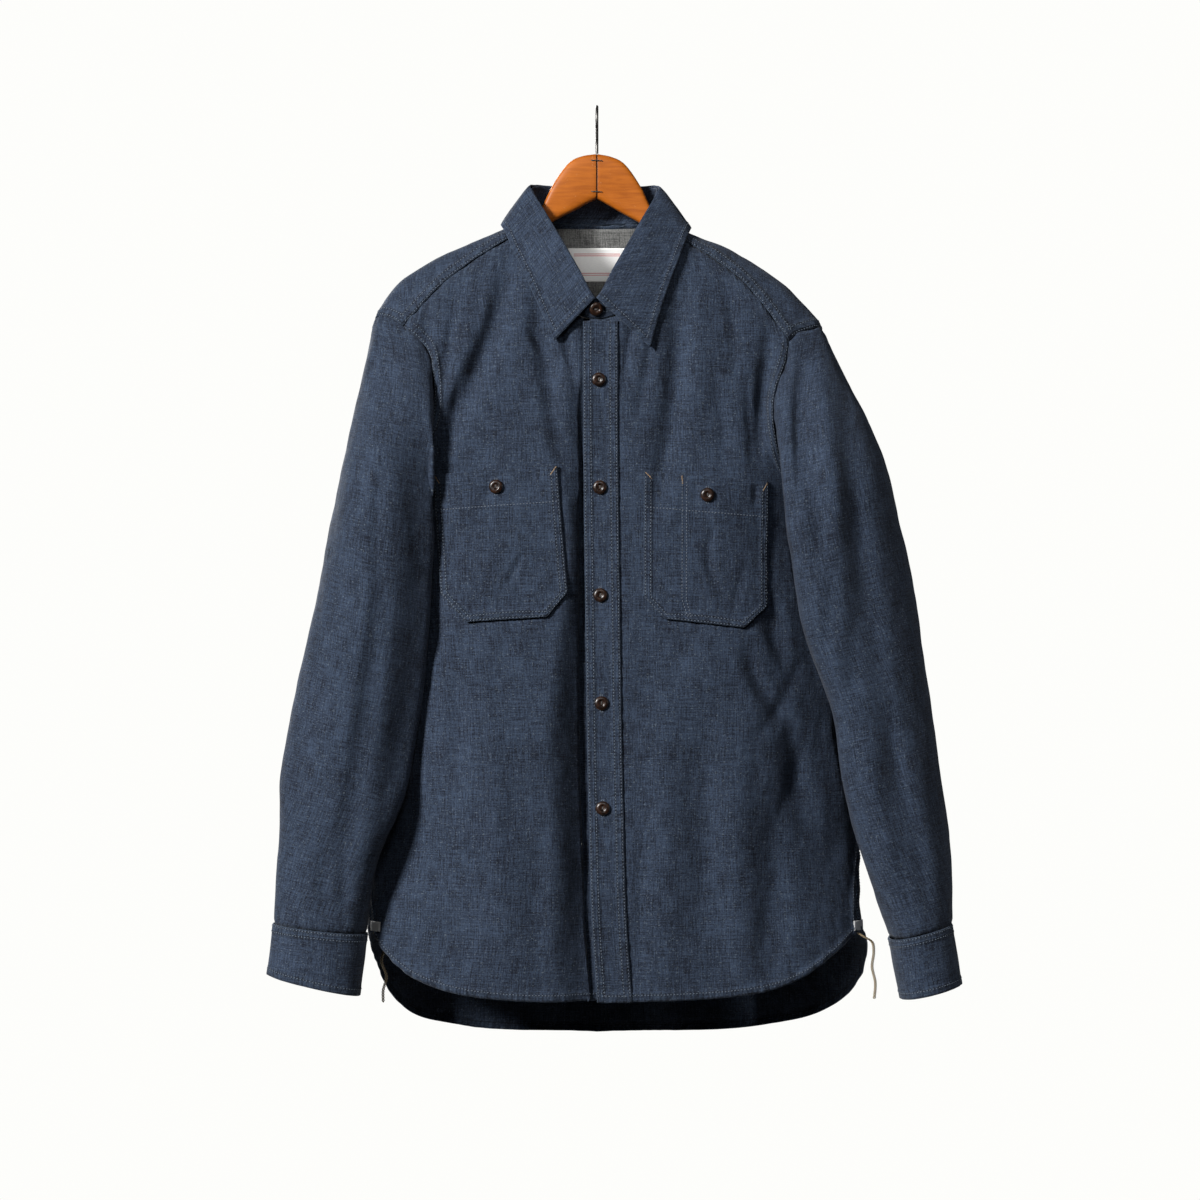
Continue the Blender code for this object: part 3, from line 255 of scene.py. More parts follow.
leafClear = 0.1           # between the leaf's fold and the stand, over the seam gap
standFootClear = 1.4      # above the neck seam, where two sloping walls meet
standTopDrop = 1.0        # below the leaf's fold
# The seam between a front and the yoke.
yokeFrontSeam = {
    "right": table(
        "share out down", (0, 68.4, 115.5), (0.45, 121.3, 149.7), (0.65, 143.9, 167.2), (1, 182.6, 208.9),
    ),
    "left": table(
        "share out down", (0, 67, 118.5), (0.45, 118.7, 149.7), (0.65, 142.2, 170.7), (1, 181.8, 223.5),
    ),
}
yokeBackMiddle = 214.0
yokeBackDip = {"right": 31.0, "left": 38.2}     # how much lower the back seam ends at the armholes

frontHem = {
    "right": table(
        "share out down",
        (0, -25, 841.5), (0.12, 9, 841.5), (0.35, 68, 840.5), (0.52, 109.5, 836.7), (0.7, 150, 827.1),
        (0.82, 175, 815), (0.92, 194, 797), (1, 205.5, 779.5),
    ),
    "left": table(
        "share out down",
        (0, 7, 841.5), (0.3, 80, 839.5), (0.5, 125, 836.5), (0.7, 166, 829), (0.82, 193, 817),
        (0.92, 219, 799), (1, 243.5, 779.5),
    ),
}
frontHemDown = 841.5
backHemDown = 886.0
hemCornerDown = 779.5
backHem = {
    "right": table(
        "wrap down", (0.88, 779.5), (1, 795), (1.08, 817), (1.16, 841), (1.28, 863), (1.53, 880), (2, 886),
    ),
    "left": table(
        "wrap down", (0.88, 779.5), (1, 802), (1.07, 826), (1.15, 844), (1.3, 866), (1.53, 881), (2, 886),
    ),
}
# The front placket's middle, which drifts to the wearer's left as the shirt hangs.
placketLine = table(
    "down across", (195, 3.5), (267, 3.4), (462, 5.4), (654, 8.4), (774, 12), (841.5, 16.7),
)
placketTopDown = 205.6
underlapStep = 2.4
underlap = {"right": -8.0, "left": -10.0}
neckStart = {"right": -0.10, "left": -0.06}

# Pocket corners, from the top inner one round by the bottom to the top outer one.
pocketCorners = {
    "right": table(
        "out down", (37.3, 341.5), (27.1, 459.6), (46.1, 482.9), (121.3, 487.7), (145.2, 460.7),
        (152.5, 349.3),
    ),
    "left": table(
        "out down", (43.7, 346.9), (43.7, 464.3), (63.3, 484.7), (137.9, 493), (158.8, 472.7),
        (160.5, 355.7),
    ),
}
pocketCornerShare = 0.84  # how far down a pocket its bottom corners are cut off

buttonPlaces = {
    "placket_button_1": (1.9, 260.8),
    "placket_button_2": (2.9, 361.8),
    "placket_button_3": (3.3, 462.6),
    "placket_button_4": (4.3, 563.2),
    "placket_button_5": (5.6, 660.8),
}
pocketButtonPlaces = {"right": (-94.0, 361.2), "left": (103.3, 368.8)}
collarButtonAt = (0.974, 0.475)   # shares along the stand and down it
cuffButtonAt = (0.965, 0.5)

# The sleeve's sections, from below the underarm to the cuff. Lean brings the inner
# edge forward, over the front.
sleeveSections = {
    "right": table(
        "share outerX outerDown innerX innerDown depth back lean",
        (0, 246, 372, 153, 425, 44, -42, 22), (0.24, 264.6, 467, 157, 500, 42, -42, 22),
        (0.47, 285, 559, 166, 580, 40, -40, 20), (0.66, 298.3, 634, 179, 650, 38, -38, 17),
        (0.83, 300, 700, 205, 712, 35, -34, 10), (1, 303.9, 770, 217.3, 779, 32, -30, 4),
    ),
    "left": table(
        "share outerX outerDown innerX innerDown depth back lean",
        (0, 277, 355, 178, 415, 44, -42, 22), (0.25, 300.6, 462, 193, 495, 42, -42, 22),
        (0.48, 313.5, 555, 220, 575, 41, -42, 18), (0.66, 323.7, 629, 231, 645, 42, -41, 14),
        (0.85, 332.5, 710, 253, 722, 43, -38, 8), (1, 333.3, 768.4, 275.2, 783.5, 43, -34, 4),
    ),
}
cuffSections = {
    "right": table(
        "share outerX outerDown innerX innerDown depth back lean",
        (0, 304.9, 770.8, 216.3, 779.8, 33, -30, 4), (0.5, 307.8, 794.5, 219.2, 808, 33, -30, 4),
        (1, 310.8, 818.6, 223.2, 838, 32.5, -30, 4),
    ),
    "left": table(
        "share outerX outerDown innerX innerDown depth back lean",
        (0, 334.3, 769.2, 274.3, 784.3, 44, -34, 4), (0.5, 339.4, 797, 279, 812, 44, -34, 4),
        (1, 344, 825.4, 284.6, 840.2, 43.5, -34, 4),
    ),
}
# Which part of the sleeve's section hangs from each part of the armhole, how far the cloth
# swings forward and outward from the seam, and how far it stands proud of the body there.
sleeveHead = table(
    "turn angle forward aside proud",
    (0, 0, 0, 0, 0), (27, 55, 12, 0, 0), (52, 92, 30, 0, 0.1), (70, 122, 42, 0, 0.3),
    (92, 152, 50, 0, 0.6), (120, 172, 60, 0, 1.4), (148, 190, 66, 0, 2.0), (178, 212, 80, 0, 1.6),
    (200, 235, 100, 10, 1.0), (220, 252, 120, 35, 0), (240, 264, 110, 45, 0), (260, 277, 60, 30, 0),
    (280, 290, 20, 10, 0), (315, 314, -14, 0, 0), (342, 338, -6, 0, 0), (360, 360, 0, 0, 0),
)
sleeveHeadShare = 0.36    # of the sleeve's length, down to its first full section
sleeveSeamGap = 0.6
cuffOverlapAngle = 24.0
cuffEase = 0.4            # how much wider the cuff is than the sleeve's section
cuffLapGap = 0.6
sleevePlacketAngle = 18.0
sleevePlacketTop = 0.80    # of the sleeve's length
sleevePlacketFoot = 0.975
sleevePlacketLift = layerStep + 1.5 * seamGap
cuffOpeningAngle = {"right": 300.0, "left": 318.0}


foldEnds = 0.8            # below 1, folds keep their depth nearer to their ends
foldFacing = 0.6          # below 1, folds of the sleeve's front reach further round it

# A row for each fold: where it starts and ends, how it runs, its half width, and how far
# it sinks, or rises where that is below 0.
frontFolds = table(
    "top bottom startX middleX endX width sink",
    (125, 335, -76, -104, -152, 12, 7.5),
    (160, 320, -98, -124, -158, 9, -2.5),
    (172, 270, -133, -138, -143, 5.5, 3.0),
    (176, 300, -160, -159, -158, 5, 3.2),
    (160, 230, -108, -112, -118, 5, 1.6),
    (150, 375, -60, -45, -24, 9, 5.5),
    (192, 268, -37, -29, -19, 3.5, 2.6),
    (192, 270, 38, 29, 23, 5, 2.6),
    (150, 400, 77, 72, 52, 11, 6.0),
    (160, 330, 98, 96, 90, 12, -2.2),
    (170, 260, 124, 128, 132, 6, 2.2),
    (178, 330, 168, 158, 150, 7, 3.8),
    (235, 345, 163, 156, 152, 7, 4.6),
    (250, 345, 142, 143, 146, 5, 2.4),
    (455, 560, 164, 168, 178, 9, 4.5),
    (505, 585, 142, 152, 182, 8, 5.5),
    (500, 560, 160, 170, 184, 6, -2.5),
    (560, 700, 176, 188, 196, 12, 4.5),
    (520, 838, 62, 64, 60, 16, -3.2),
    (560, 838, 98, 100, 104, 15, 3.2),
    (620, 838, 128, 134, 138, 14, -3.0),
    (640, 835, 160, 164, 166, 15, 4.0),
    (560, 835, -104, -98, -88, 24, -3.8),
    (480, 700, -128, -132, -134, 9, 2.2),
    (640, 830, -150, -142, -130, 18, 3.2),
    (700, 838, -58, -54, -50, 12, 1.8),
)
backFolds = table(
    "top bottom startX middleX endX width sink",
    (215, 560, -120, -95, -84, 20, 5.0),
    (215, 640, 128, 104, 92, 22, 5.5),
    (300, 880, -30, -22, -12, 26, -4.0),
    (420, 885, 44, 52, 66, 22, 6.0),
    (480, 880, -150, -136, -118, 22, 5.0),
    (520, 880, 160, 150, 140, 24, -4.5),
)
sleeveFolds = {
    "right": table(
        "top bottom startX middleX endX width sink",
        (325, 500, -197, -203, -196, 8, 5.0),
        (430, 600, -196, -206, -214, 8, 4.0),
        (455, 740, -200, -216, -240, 11, 5.5),
        (690, 770, -250, -254, -246, 8, 4.0),
        (720, 775, -232, -236, -238, 6, 2.5),
        (330, 640, -222, -240, -262, 14, -3.0),
        (480, 700, -176, -184, -206, 13, 3.5),
        (220, 330, -196, -192, -186, 10, 1.8),
    ),
    "left": table(
        "top bottom startX middleX endX width sink",
        (222, 430, 194, 197, 204, 11, 9.0),
        (215, 520, 217, 220, 228, 13, -3.5),
        (225, 640, 222, 246, 282, 12, 4.5),
        (300, 600, 238, 240, 247, 13, 3.0),
        (390, 520, 216, 216, 212, 7, 3.0),
        (470, 560, 236, 238, 236, 6, 3.0),
        (560, 690, 270, 279, 292, 8, 5.0),
        (600, 720, 246, 262, 276, 9, -2.5),
        (640, 775, 262, 290, 306, 14, 3.0),
        (690, 775, 272, 286, 290, 7, 2.2),
    ),
}
sleeveBackFolds = {
    "right": table(
        "top bottom startX middleX endX width sink",
        (300, 620, -206, -222, -240, 16, 6.0),
        (560, 760, -262, -262, -266, 14, 4.0),
    ),
    "left": table(
        "top bottom startX middleX endX width sink",
        (300, 620, 216, 236, 262, 16, 6.0),
        (560, 760, 282, 290, 300, 14, 4.0),
    ),
}


def foldSink(rows, x, down):
    # How far all the folds of a table sink at a place.
    total = np.zeros(np.broadcast(x, down).shape)
    for top, bottom, startX, middleX, endX, width, sink in zip(*rows.values()):
        t = np.clip((down - top) / (bottom - top), 0, 1)
        middle = startX * (1 - t) * (1 - 2 * t) + 4 * middleX * t * (1 - t) + endX * t * (2 * t - 1)
        lean = (startX * (4 * t - 3) + 4 * middleX * (1 - 2 * t) + endX * (4 * t - 1)) / (bottom - top)
        aside = (x - middle) / np.sqrt(1 + lean**2)
        along = np.sin(math.pi * t) ** foldEnds
        total = total + sink * along * np.exp(-((aside / width) ** 2))
    return total


def bySide(x, right, left):
    return np.where(np.asarray(x) < 0, right, left)


def followSide(lines, key, column, x, at):
    return bySide(x, *(follow(lines[side], key, column, at) for side in ("right", "left")))


def ridgeDown(x):
    return followSide(shoulderLine, "out", "down", x, np.abs(x))


def reachAt(x, down):
    return followSide(sideLine, "down", "out", x, down)


def shareOut(x, down):
    return np.clip(np.abs(x) / reachAt(x, down), 0, 1)


def edgeRound(x, down):
    return np.sqrt(1 - shareOut(x, down) ** sideSharpness)


def armBed(x, down):
    # 0 where the front hangs free, 1 where a sleeve presses it back.
    edge = followSide(sleeveInner, "down", "out", x, down)
    lengthwise = grown(down, armBedTop) * (1 - grown(down, armBedFoot))
    return ease((np.abs(x) - edge - 1) / armBedWidth) * lengthwise


def sideBack(x, down):
    lengthwise = grown(down, sideBackTop) * (1 - grown(down, sideBackFoot))
    return armBedBack * lengthwise * grown(shareOut(x, down), sideBackAcross)


def swell(x, down, fullDepth, fullness):
    below = np.maximum((down - ridgeDown(x)) * ridgeTilt, 0)
    ridge = np.sqrt(1 - (1 - np.minimum(below / ridgeHalfDepth, 1)) ** 2)
    side = np.sqrt(1 - shareOut(x, down) ** sideRoundness)
    depth = ridgeHalfDepth + (fullDepth - ridgeHalfDepth) * (1 - np.exp(-below / fullness))
    return depth * ridge * side


def fromPlacket(x, down):
    return np.abs(x - follow(placketLine, "down", "across", down)) - placketWidth / 2


def frontY(x, down):
    full = mix(chestDepth, hemDepth, grown(down, frontSwell))
    bed = armBed(x, down)
    free = swell(x, down, full, frontFullness) * (1 - bed)
    loose = grown(fromPlacket(x, down), placketHold) * edgeRound(x, down) * (1 - bed)
    folded = foldSink(frontFolds, x, down) * loose
    return sideBack(x, down) - free - armBedFront * bed * edgeRound(x, down) + folded


def backY(x, down):
    full = mix(backDepth, backHemDepth, grown(down, backSwell))
    folded = foldSink(backFolds, x, down) * edgeRound(x, down)
    return sideBack(x, down) + swell(x, down, full, backFullness) - folded


def onBody(x, down, face):
    y = np.where(np.asarray(face) < 0, frontY(x, down), backY(x, down))
    return np.stack(np.broadcast_arrays(x, y, -np.asarray(down, float)), -1)


def offBody(x, down, face, lift):
    # A point this far out from the body's outer surface, or in from it where lift is below 0.
    step = 1.0
    across = onBody(x + step, down, face) - onBody(x - step, down, face)
    along = onBody(x, down + step, face) - onBody(x, down - step, face)
    normal = np.cross(across, along) * face
    return onBody(x, down, face) + normal / np.linalg.norm(normal, axis=-1, keepdims=True) * lift


def wrapOf(side, out, down, face):
    # A place on a level round the body: 0 front middle, 1 side, 2 back middle.
    reach = follow(sideLine[side], "down", "out", down)
    return 1 + face * np.maximum(1 - out / reach, 0) ** (1 / sideSpacing)


def onWrap(side, wrap, down):
    reach = follow(sideLine[side], "down", "out", down)
    out = reach * (1 - np.abs(1 - wrap) ** sideSpacing)
    return onBody(sideSign[side] * out, down, wrap - 1 - 1e-9)


def armholePlace(side, turn):
    # Where round the body the armhole runs, and how far down.
    rows = armhole[side]
    wraps = wrapOf(side, rows["out"], rows["down"], rows["face"])
    placed = {"turn": rows["turn"], "wrap": wraps, "down": rows["down"]}
    return follow(placed, "turn", "wrap", turn), follow(placed, "turn", "down", turn)


def fillIn(s, t, top, bottom, start, end, fade=1.0):
    # Fills in between four edges. Each gives pairs of numbers from its share of the way.
    # A higher fade lets the shapes of the top and the bottom edge die away sooner.
    def bend(edge):
        first = edge(np.zeros(s.shape))
        last = edge(np.ones(s.shape))
        return edge(s) - mix(first, last, s[..., None])

    t1 = t[..., None]
    return mix(start(t), end(t), s[..., None]) + bend(top) * (1 - t1) ** fade + bend(bottom) * t1**fade


def pair(first, second):
    return np.stack(np.broadcast_arrays(first, second), -1)


def wayOut(panel, s, t, flip):
    # The direction out of an open panel's outer surface at each place.
    def at(s, t):
        return panel(np.clip(s, 0, 1), np.clip(t, 0, 1))

    step = 0.001
    normal = np.cross(at(s + step, t) - at(s - step, t), at(s, t + step) - at(s, t - step))
    return normal / np.linalg.norm(normal, axis=1, keepdims=True) * (-1 if flip else 1)


# How many columns and rows of the solids lie along each seam. Here they set each seam's
# share of its panel's edge, so that the cloth's corners fall where the solids' do.
neckColumns = 7
yokeSeamColumns = 8       # along the front yoke seam, which are the yoke's rows
backSeamColumns = 11      # along half the back yoke seam
frontArmRows = 8
backArmRows = 7
sideRows = 16
strapColumns = 6          # of the yoke's armhole edge, in front of the shoulder and behind it
backStrapColumns = 5

frontColumns = neckColumns + yokeSeamColumns
yokeHalfColumns = strapColumns + backStrapColumns + backSeamColumns
sleeveColumns = strapColumns + frontArmRows + backArmRows + backStrapColumns
neckShare = neckColumns / frontColumns

frontEdgeFade = 4.5       # how soon the shapes of a panel's top and hem die away inside it
backEdgeFade = 2.0
frontRowSpacing = 0.88    # packs the rows closer at the top of the front's middle edge
cornerFade = 20           # how soon the armhole leaves the corner that it shares
backGap = 0.008           # the side seam's gap, round the body


def sideSeamPlace(t, topDown):
    down = mix(topDown, hemCornerDown, t)
    return follow(sideSeam, "down", "wrap", down), down


def outerEdge(t, side, firstTurn, firstDown, armRows, apart):
    # The armhole, and below it the side seam, moved round the body by this much.
    armShare = armRows / (armRows + sideRows)
    turn = mix(firstTurn, underarmTurn, np.clip(t / armShare, 0, 1))
    armWrap, armDown = armholePlace(side, turn)
    armDown = armDown + (firstDown - armholePlace(side, firstTurn)[1]) * (1 - t) ** cornerFade
    underarm = follow(armhole[side], "turn", "down", underarmTurn)
    seamWrap, seamDown = sideSeamPlace(np.clip((t - armShare) / (1 - armShare), 0, 1), underarm)
    onArm = t < armShare
    return pair(np.where(onArm, armWrap, seamWrap) + apart, np.where(onArm, armDown, seamDown))


def frontPanel(side):
    def top(s):
        onNeck = s < neckShare
        about = mix(neckStart[side], yokeNeckRound, np.clip(s / neckShare, 0, 1))
        share = np.clip((s - neckShare) / (1 - neckShare), 0, 1)
        neckOut = follow(neckSeam[side], "round", "out", about)
        neckDown = follow(neckSeam[side], "round", "down", about)
        seamOut = follow(yokeFrontSeam[side], "share", "out", share)
        seamDown = follow(yokeFrontSeam[side], "share", "down", share)
        down = np.where(onNeck, neckDown, seamDown) + seamStep
        return pair(wrapOf(side, np.where(onNeck, neckOut, seamOut), down, -1), down)

    def bottom(s):
        out = follow(frontHem[side], "share", "out", s)
        down = follow(frontHem[side], "share", "down", s)
        return pair(wrapOf(side, out, down, -1), down)

    def middle(t):
        top = follow(neckSeam[side], "round", "down", neckStart[side]) + seamStep
        down = mix(top, frontHemDown, t**frontRowSpacing)
        out = sideSign[side] * follow(placketLine, "down", "across", down) + underlap[side]
        return pair(wrapOf(side, out, down, -1), down)

    def at(s, t):
        corner = top(np.ones(1))[0, 1]
        outer = functools.partial(
            outerEdge, side=side, firstTurn=yokeFrontTurn, firstDown=corner, armRows=frontArmRows, apart=0,
        )
        placed = fillIn(s, t, top, bottom, middle, outer, fade=frontEdgeFade)
        points = onWrap(side, placed[..., 0], placed[..., 1])
        if side == "right":
            # It passes under the other front, behind the placket.
            within = points[..., 0] - follow(placketLine, "down", "across", -points[..., 2])
            points[..., 1] += underlapStep * grown(within, underlapRamp)
        return points

    return at


def backSeamDown(x):
    return yokeBackMiddle + bySide(x, yokeBackDip["right"], yokeBackDip["left"]) * (x / 193) ** 2


def backPanel():
    def half(side, s, t):
        def top(s):
            out = follow(armhole[side], "turn", "out", yokeBackTurn) * s
            down = backSeamDown(sideSign[side] * out) + seamStep
            return pair(wrapOf(side, out, down, 1), down)

        def bottom(s):
            wrap = mix(2.0, float(follow(sideSeam, "down", "wrap", hemCornerDown)) + backGap, s)
            return pair(wrap, follow(backHem[side], "wrap", "down", wrap))

        def middle(t):
            return pair(2.0, mix(yokeBackMiddle + seamStep, backHemDown, t))

        corner = top(np.ones(1))[0, 1]
        outer = functools.partial(
            outerEdge, side=side, firstTurn=yokeBackTurn, firstDown=corner, armRows=backArmRows,
            apart=backGap,
        )
        placed = fillIn(s, t, top, bottom, middle, outer, fade=backEdgeFade)
        return onWrap(side, placed[..., 0], placed[..., 1])

    def at(s, t):
        left = (s > 0.5)[..., None]
        share = np.abs(2 * s - 1)
        return np.where(left, half("left", share, t), half("right", share, t))

    return at


def signedDrop(x, down, face):
    # How far below the shoulder's ridge, as a root, so that rows crowd near the ridge.
    return face * np.sqrt(np.maximum(down - ridgeDown(x), 0))


yokeStrapShare = strapColumns / yokeHalfColumns
yokeCornerShare = (strapColumns + backStrapColumns) / yokeHalfColumns


def yokePanel():
    def half(side, s, t):
        # S runs from the front seam to the back's middle, t from the neck to the edge.
        def neck(s):
            onFront = s < yokeStrapShare
            front = mix(yokeNeckRound, 1.0, np.clip(s / yokeStrapShare, 0, 1))
            back = mix(1.0, 2.0, np.clip((s - yokeStrapShare) / (1 - yokeStrapShare), 0, 1))
            about = np.where(onFront, front, back)
            out = follow(neckSeam[side], "round", "out", about)
            down = follow(neckSeam[side], "round", "down", about)
            return pair(out, signedDrop(sideSign[side] * out - 0.001, down, np.where(onFront, -1, 1)))

        def edge(s):
            frontTurn = mix(yokeFrontTurn, 0.0, np.clip(s / yokeStrapShare, 0, 1))
            backShare = (s - yokeStrapShare) / (yokeCornerShare - yokeStrapShare)
            backTurn = mix(shoulderTurn, yokeBackTurn, np.clip(backShare, 0, 1))
            wrap, down = armholePlace(side, np.where(s < yokeStrapShare, frontTurn, backTurn))
            reach = follow(sideLine[side], "down", "out", down)
            armOut = reach * (1 - np.abs(1 - wrap) ** sideSpacing)
            cornerOut = follow(armhole[side], "turn", "out", yokeBackTurn)
            seamOut = mix(cornerOut, 0.0, np.clip((s - yokeCornerShare) / (1 - yokeCornerShare), 0, 1))
            onArm = s < yokeCornerShare
            out = np.where(onArm, armOut, seamOut)
            down = np.where(onArm, down, backSeamDown(sideSign[side] * seamOut))
            return pair(out, signedDrop(sideSign[side] * out, down, np.where(s < yokeStrapShare, -1, 1)))

        def frontSeam(t):
            out = follow(yokeFrontSeam[side], "share", "out", t)
            down = follow(yokeFrontSeam[side], "share", "down", t)
            return pair(out, signedDrop(sideSign[side] * out, down, -1))

        def middle(t):
            low = signedDrop(0.0, yokeBackMiddle, 1)
            high = signedDrop(0.0, follow(neckSeam[side], "round", "down", 2.0), 1)
            return pair(0.0, mix(high, low, t))

        placed = fillIn(s, t, neck, edge, frontSeam, middle)
        x = sideSign[side] * placed[..., 0]
        drop = placed[..., 1]
        return onBody(x, ridgeDown(x) + drop**2, np.where(drop < 0, -1, 1))

    def at(s, t):
        left = (s > 0.5)[..., None]
        share = 1 - np.abs(2 * s - 1)
        return np.where(left, half("left", share, t), half("right", share, t))

    return at


innerYoke = {"across": 96.0, "top": 111.2, "belowRidge": 9.0, "aboveSeam": 3.0}


def innerYokePanel():
    def at(s, t):
        x = mix(-innerYoke["across"], innerYoke["across"], s)
        top = np.maximum(innerYoke["top"], ridgeDown(x) + innerYoke["belowRidge"])
        down = mix(top, backSeamDown(x) - innerYoke["aboveSeam"], t)
        return offBody(x, down, 1, -layerStep - seamGap)

    return at


labelPlace = {"across": 27.8, "top": 128.5, "bottom": 160.2}


def labelPanel():
    def at(s, t):
        x = mix(-labelPlace["across"], labelPlace["across"], s)
        down = mix(labelPlace["top"], labelPlace["bottom"], t)
        return offBody(x, down, 1, -2 * layerStep - seamGap)

    return at


def placketPanel():
    def at(s, t):
        down = mix(placketTopDown, frontHemDown, t)
        x = follow(placketLine, "down", "across", down) + (s - 0.5) * placketWidth
        return offBody(x, down, -1, layerStep)

    return at


def pocketPanel(side):
    corners = pocketCorners[side]

    def edgePlace(names, t):
        shares = {"share": np.array([0.0, pocketCornerShare, 1.0])}
        upper = np.clip(t / pocketCornerShare, 0, 1)
        lower = np.clip((t - pocketCornerShare) / (1 - pocketCornerShare), 0, 1)
        rows = [np.array([corners["out"][i], corners["down"][i]]) for i in names]
        onUpper = (t < pocketCornerShare)[..., None]
        above = mix(rows[0], rows[1], upper[..., None])
        below = mix(rows[1], rows[2], lower[..., None])
        return np.where(onUpper, above, below)

    def at(s, t):
        inner = edgePlace((0, 1, 2), t)
        outer = edgePlace((5, 4, 3), t)
        placed = mix(inner, outer, s[..., None])
        return offBody(sideSign[side] * placed[..., 0], placed[..., 1], -1, pocketLift)

    return at


def collarPlace(side, about, rows):
    down = follow(rows, "round", "down", about)
    x = sideSign[side] * follow(rows, "round", "out", about)
    return x, down


def neckPoint(side, about):
    x, down = collarPlace(side, about, neckSeam[side])
    return onBody(x, down, np.where(about <= 1, -1, 1))


def foldPoint(side, about):
    x, down = collarPlace(side, about, collarFold[side])
    return np.stack(np.broadcast_arrays(x, follow(collarFold[side], "round", "back", about), -down), -1)


leafColumns = 36
standOverlap = 0.11
leafSpread = 3.0          # how much further off the leaf's edge stands than its fold
foldStep = 0.03           # round the neck, for the fold's direction


def roundTheNeck(s, half, columns, overlap):
    # From the right front round the back to the left front. The leaf and the stand keep
    # the same columns, but for the stand's own first and last one, which overlap.
    left = (s > 0.5)[..., None]
    fromBack = np.abs(2 * s - 1) * columns / 2
    about = np.interp(fromBack, [0, leafColumns / 2, leafColumns / 2 + 1], [2, 0, -overlap])
    return np.where(left, half("left", about), half("right", about))


def standPanel():
    def at(s, t):
        def half(side, about):
            low = neckPoint(side, about)
            high = foldPoint(side, about)
            point = mix(low, high, t[..., None])
            length = np.linalg.norm(high - low, axis=-1)
            shift = mix(standFootClear, -standTopDrop, t)
            point = point + (high - low) / length[..., None] * shift[..., None]
            if side == "right":
                point[..., 1] += (collarWall + 2 * seamGap) * (1 - grown(about, standUnder))
            return point

        return roundTheNeck(s, half, leafColumns + 2, standOverlap)

    return at


def leafPanel():
    def at(s, t):
        def half(side, about):
            fold = foldPoint(side, about)
            x, down = collarPlace(side, about, collarEdge[side])
            edge = onBody(x, down, np.where(about <= 1, -1, 1))
            alongFold = foldPoint(side, about + foldStep) - foldPoint(side, about - foldStep)
            away = np.cross(edge - fold, alongFold) * sideSign[side]
            away = away / np.linalg.norm(away, axis=-1, keepdims=True)
            off = collarWall + seamGap + leafClear + collarLift * np.sqrt(t) * (1 - t) + leafSpread * t
            return mix(fold, edge, t[..., None]) + away * off[..., None]

        return roundTheNeck(s, half, leafColumns, standOverlap)

    return at


sleeveTurns = (
    np.cumsum([0, strapColumns, frontArmRows, backArmRows, backStrapColumns]),
    [0, yokeFrontTurn, underarmTurn, yokeBackTurn, shoulderTurn],
)


sectionSquareness = 0.9   # below 1 the sections are fuller than an ellipse
sleeveAimShare = 0.06     # of the sections, where the sleeve's head aims
sleeveFoldTop = 0.08      # over which share of the sleeve its folds grow, and fade
sleeveFoldFoot = 0.04


def sectionPoint(rows, angle, share, spread=0.0):
    # A point of a sleeve's or a cuff's section: 0 outer, 90 front, 180 inner, 270 back.
    values = {name: follow(rows, "share", name, share) for name in rows if name != "share"}
    outer = pair(values["outerX"], -values["outerDown"])
    inner = pair(values["innerX"], -values["innerDown"])
    c = np.cos(np.radians(angle))
    d = np.sin(np.radians(angle))
    c = np.sign(c) * np.abs(c) ** sectionSquareness
    d = np.sign(d) * np.abs(d) ** sectionSquareness
    width = np.linalg.norm(outer - inner, axis=-1)
    grow = 1 + 2 * spread / width
    place = (outer + inner) / 2 + (outer - inner) / 2 * (c * grow)[..., None]
    y = values["back"] + values["lean"] * c - (values["depth"] + spread) * d
    return np.stack([place[..., 0], y, place[..., 1]], -1)


def sleevePanel(side):
    rows = sleeveSections[side]
    sign = np.array([sideSign[side], 1.0, 1.0])

    def seamPoint(turn):
        wrap, down = armholePlace(side, turn)
        return onWrap(side, wrap, down) * sign

    def at(s, t):
        turn = np.interp(s * sleeveColumns, *sleeveTurns)
        angle = np.minimum(follow(sleeveHead, "turn", "angle", turn), 360)
        headT = np.clip(t / sleeveHeadShare, 0, 1)[..., None]
        bodyT = np.clip((t - sleeveHeadShare) / (1 - sleeveHeadShare), 0, 1)
        first = sectionPoint(rows, angle, np.zeros_like(s))
        after = sectionPoint(rows, angle, np.full(s.shape, sleeveAimShare))
        seam = seamPoint(turn)
        span = np.linalg.norm(first - seam, axis=-1, keepdims=True)
        forward = follow(sleeveHead, "turn", "forward", turn)
        aside = follow(sleeveHead, "turn", "aside", turn)
        leave = (first - seam) + np.stack([aside, -forward, 0 * s], -1)
        arrive = (after - first) / np.linalg.norm(after - first, axis=-1, keepdims=True) * span
        start = seam + leave / np.linalg.norm(leave, axis=-1, keepdims=True) * sleeveSeamGap
        start[..., 1] -= follow(sleeveHead, "turn", "proud", turn)
        head = (
            start * (1 + 2 * headT) * (1 - headT) ** 2
            + leave * headT * (1 - headT) ** 2
            + first * headT**2 * (3 - 2 * headT)
            - arrive * headT**2 * (1 - headT)
        )
        point = np.where(headT < 1, head, sectionPoint(rows, angle, bodyT)) * sign
        return creased(side, point, angle, ease(t / sleeveFoldTop) * ease((1 - t) / sleeveFoldFoot))

    return at


def creased(side, point, angle, amount):
    # The sleeve's folds, those of its front on the front and those of its back behind.
    facing = np.sin(np.radians(angle))
    front = foldSink(sleeveFolds[side], point[..., 0], -point[..., 2]) * np.maximum(facing, 0) ** foldFacing
    back = foldSink(sleeveBackFolds[side], point[..., 0], -point[..., 2])
    back = back * np.maximum(-facing, 0) ** foldFacing
    point[..., 1] += (front - back) * amount
    return point


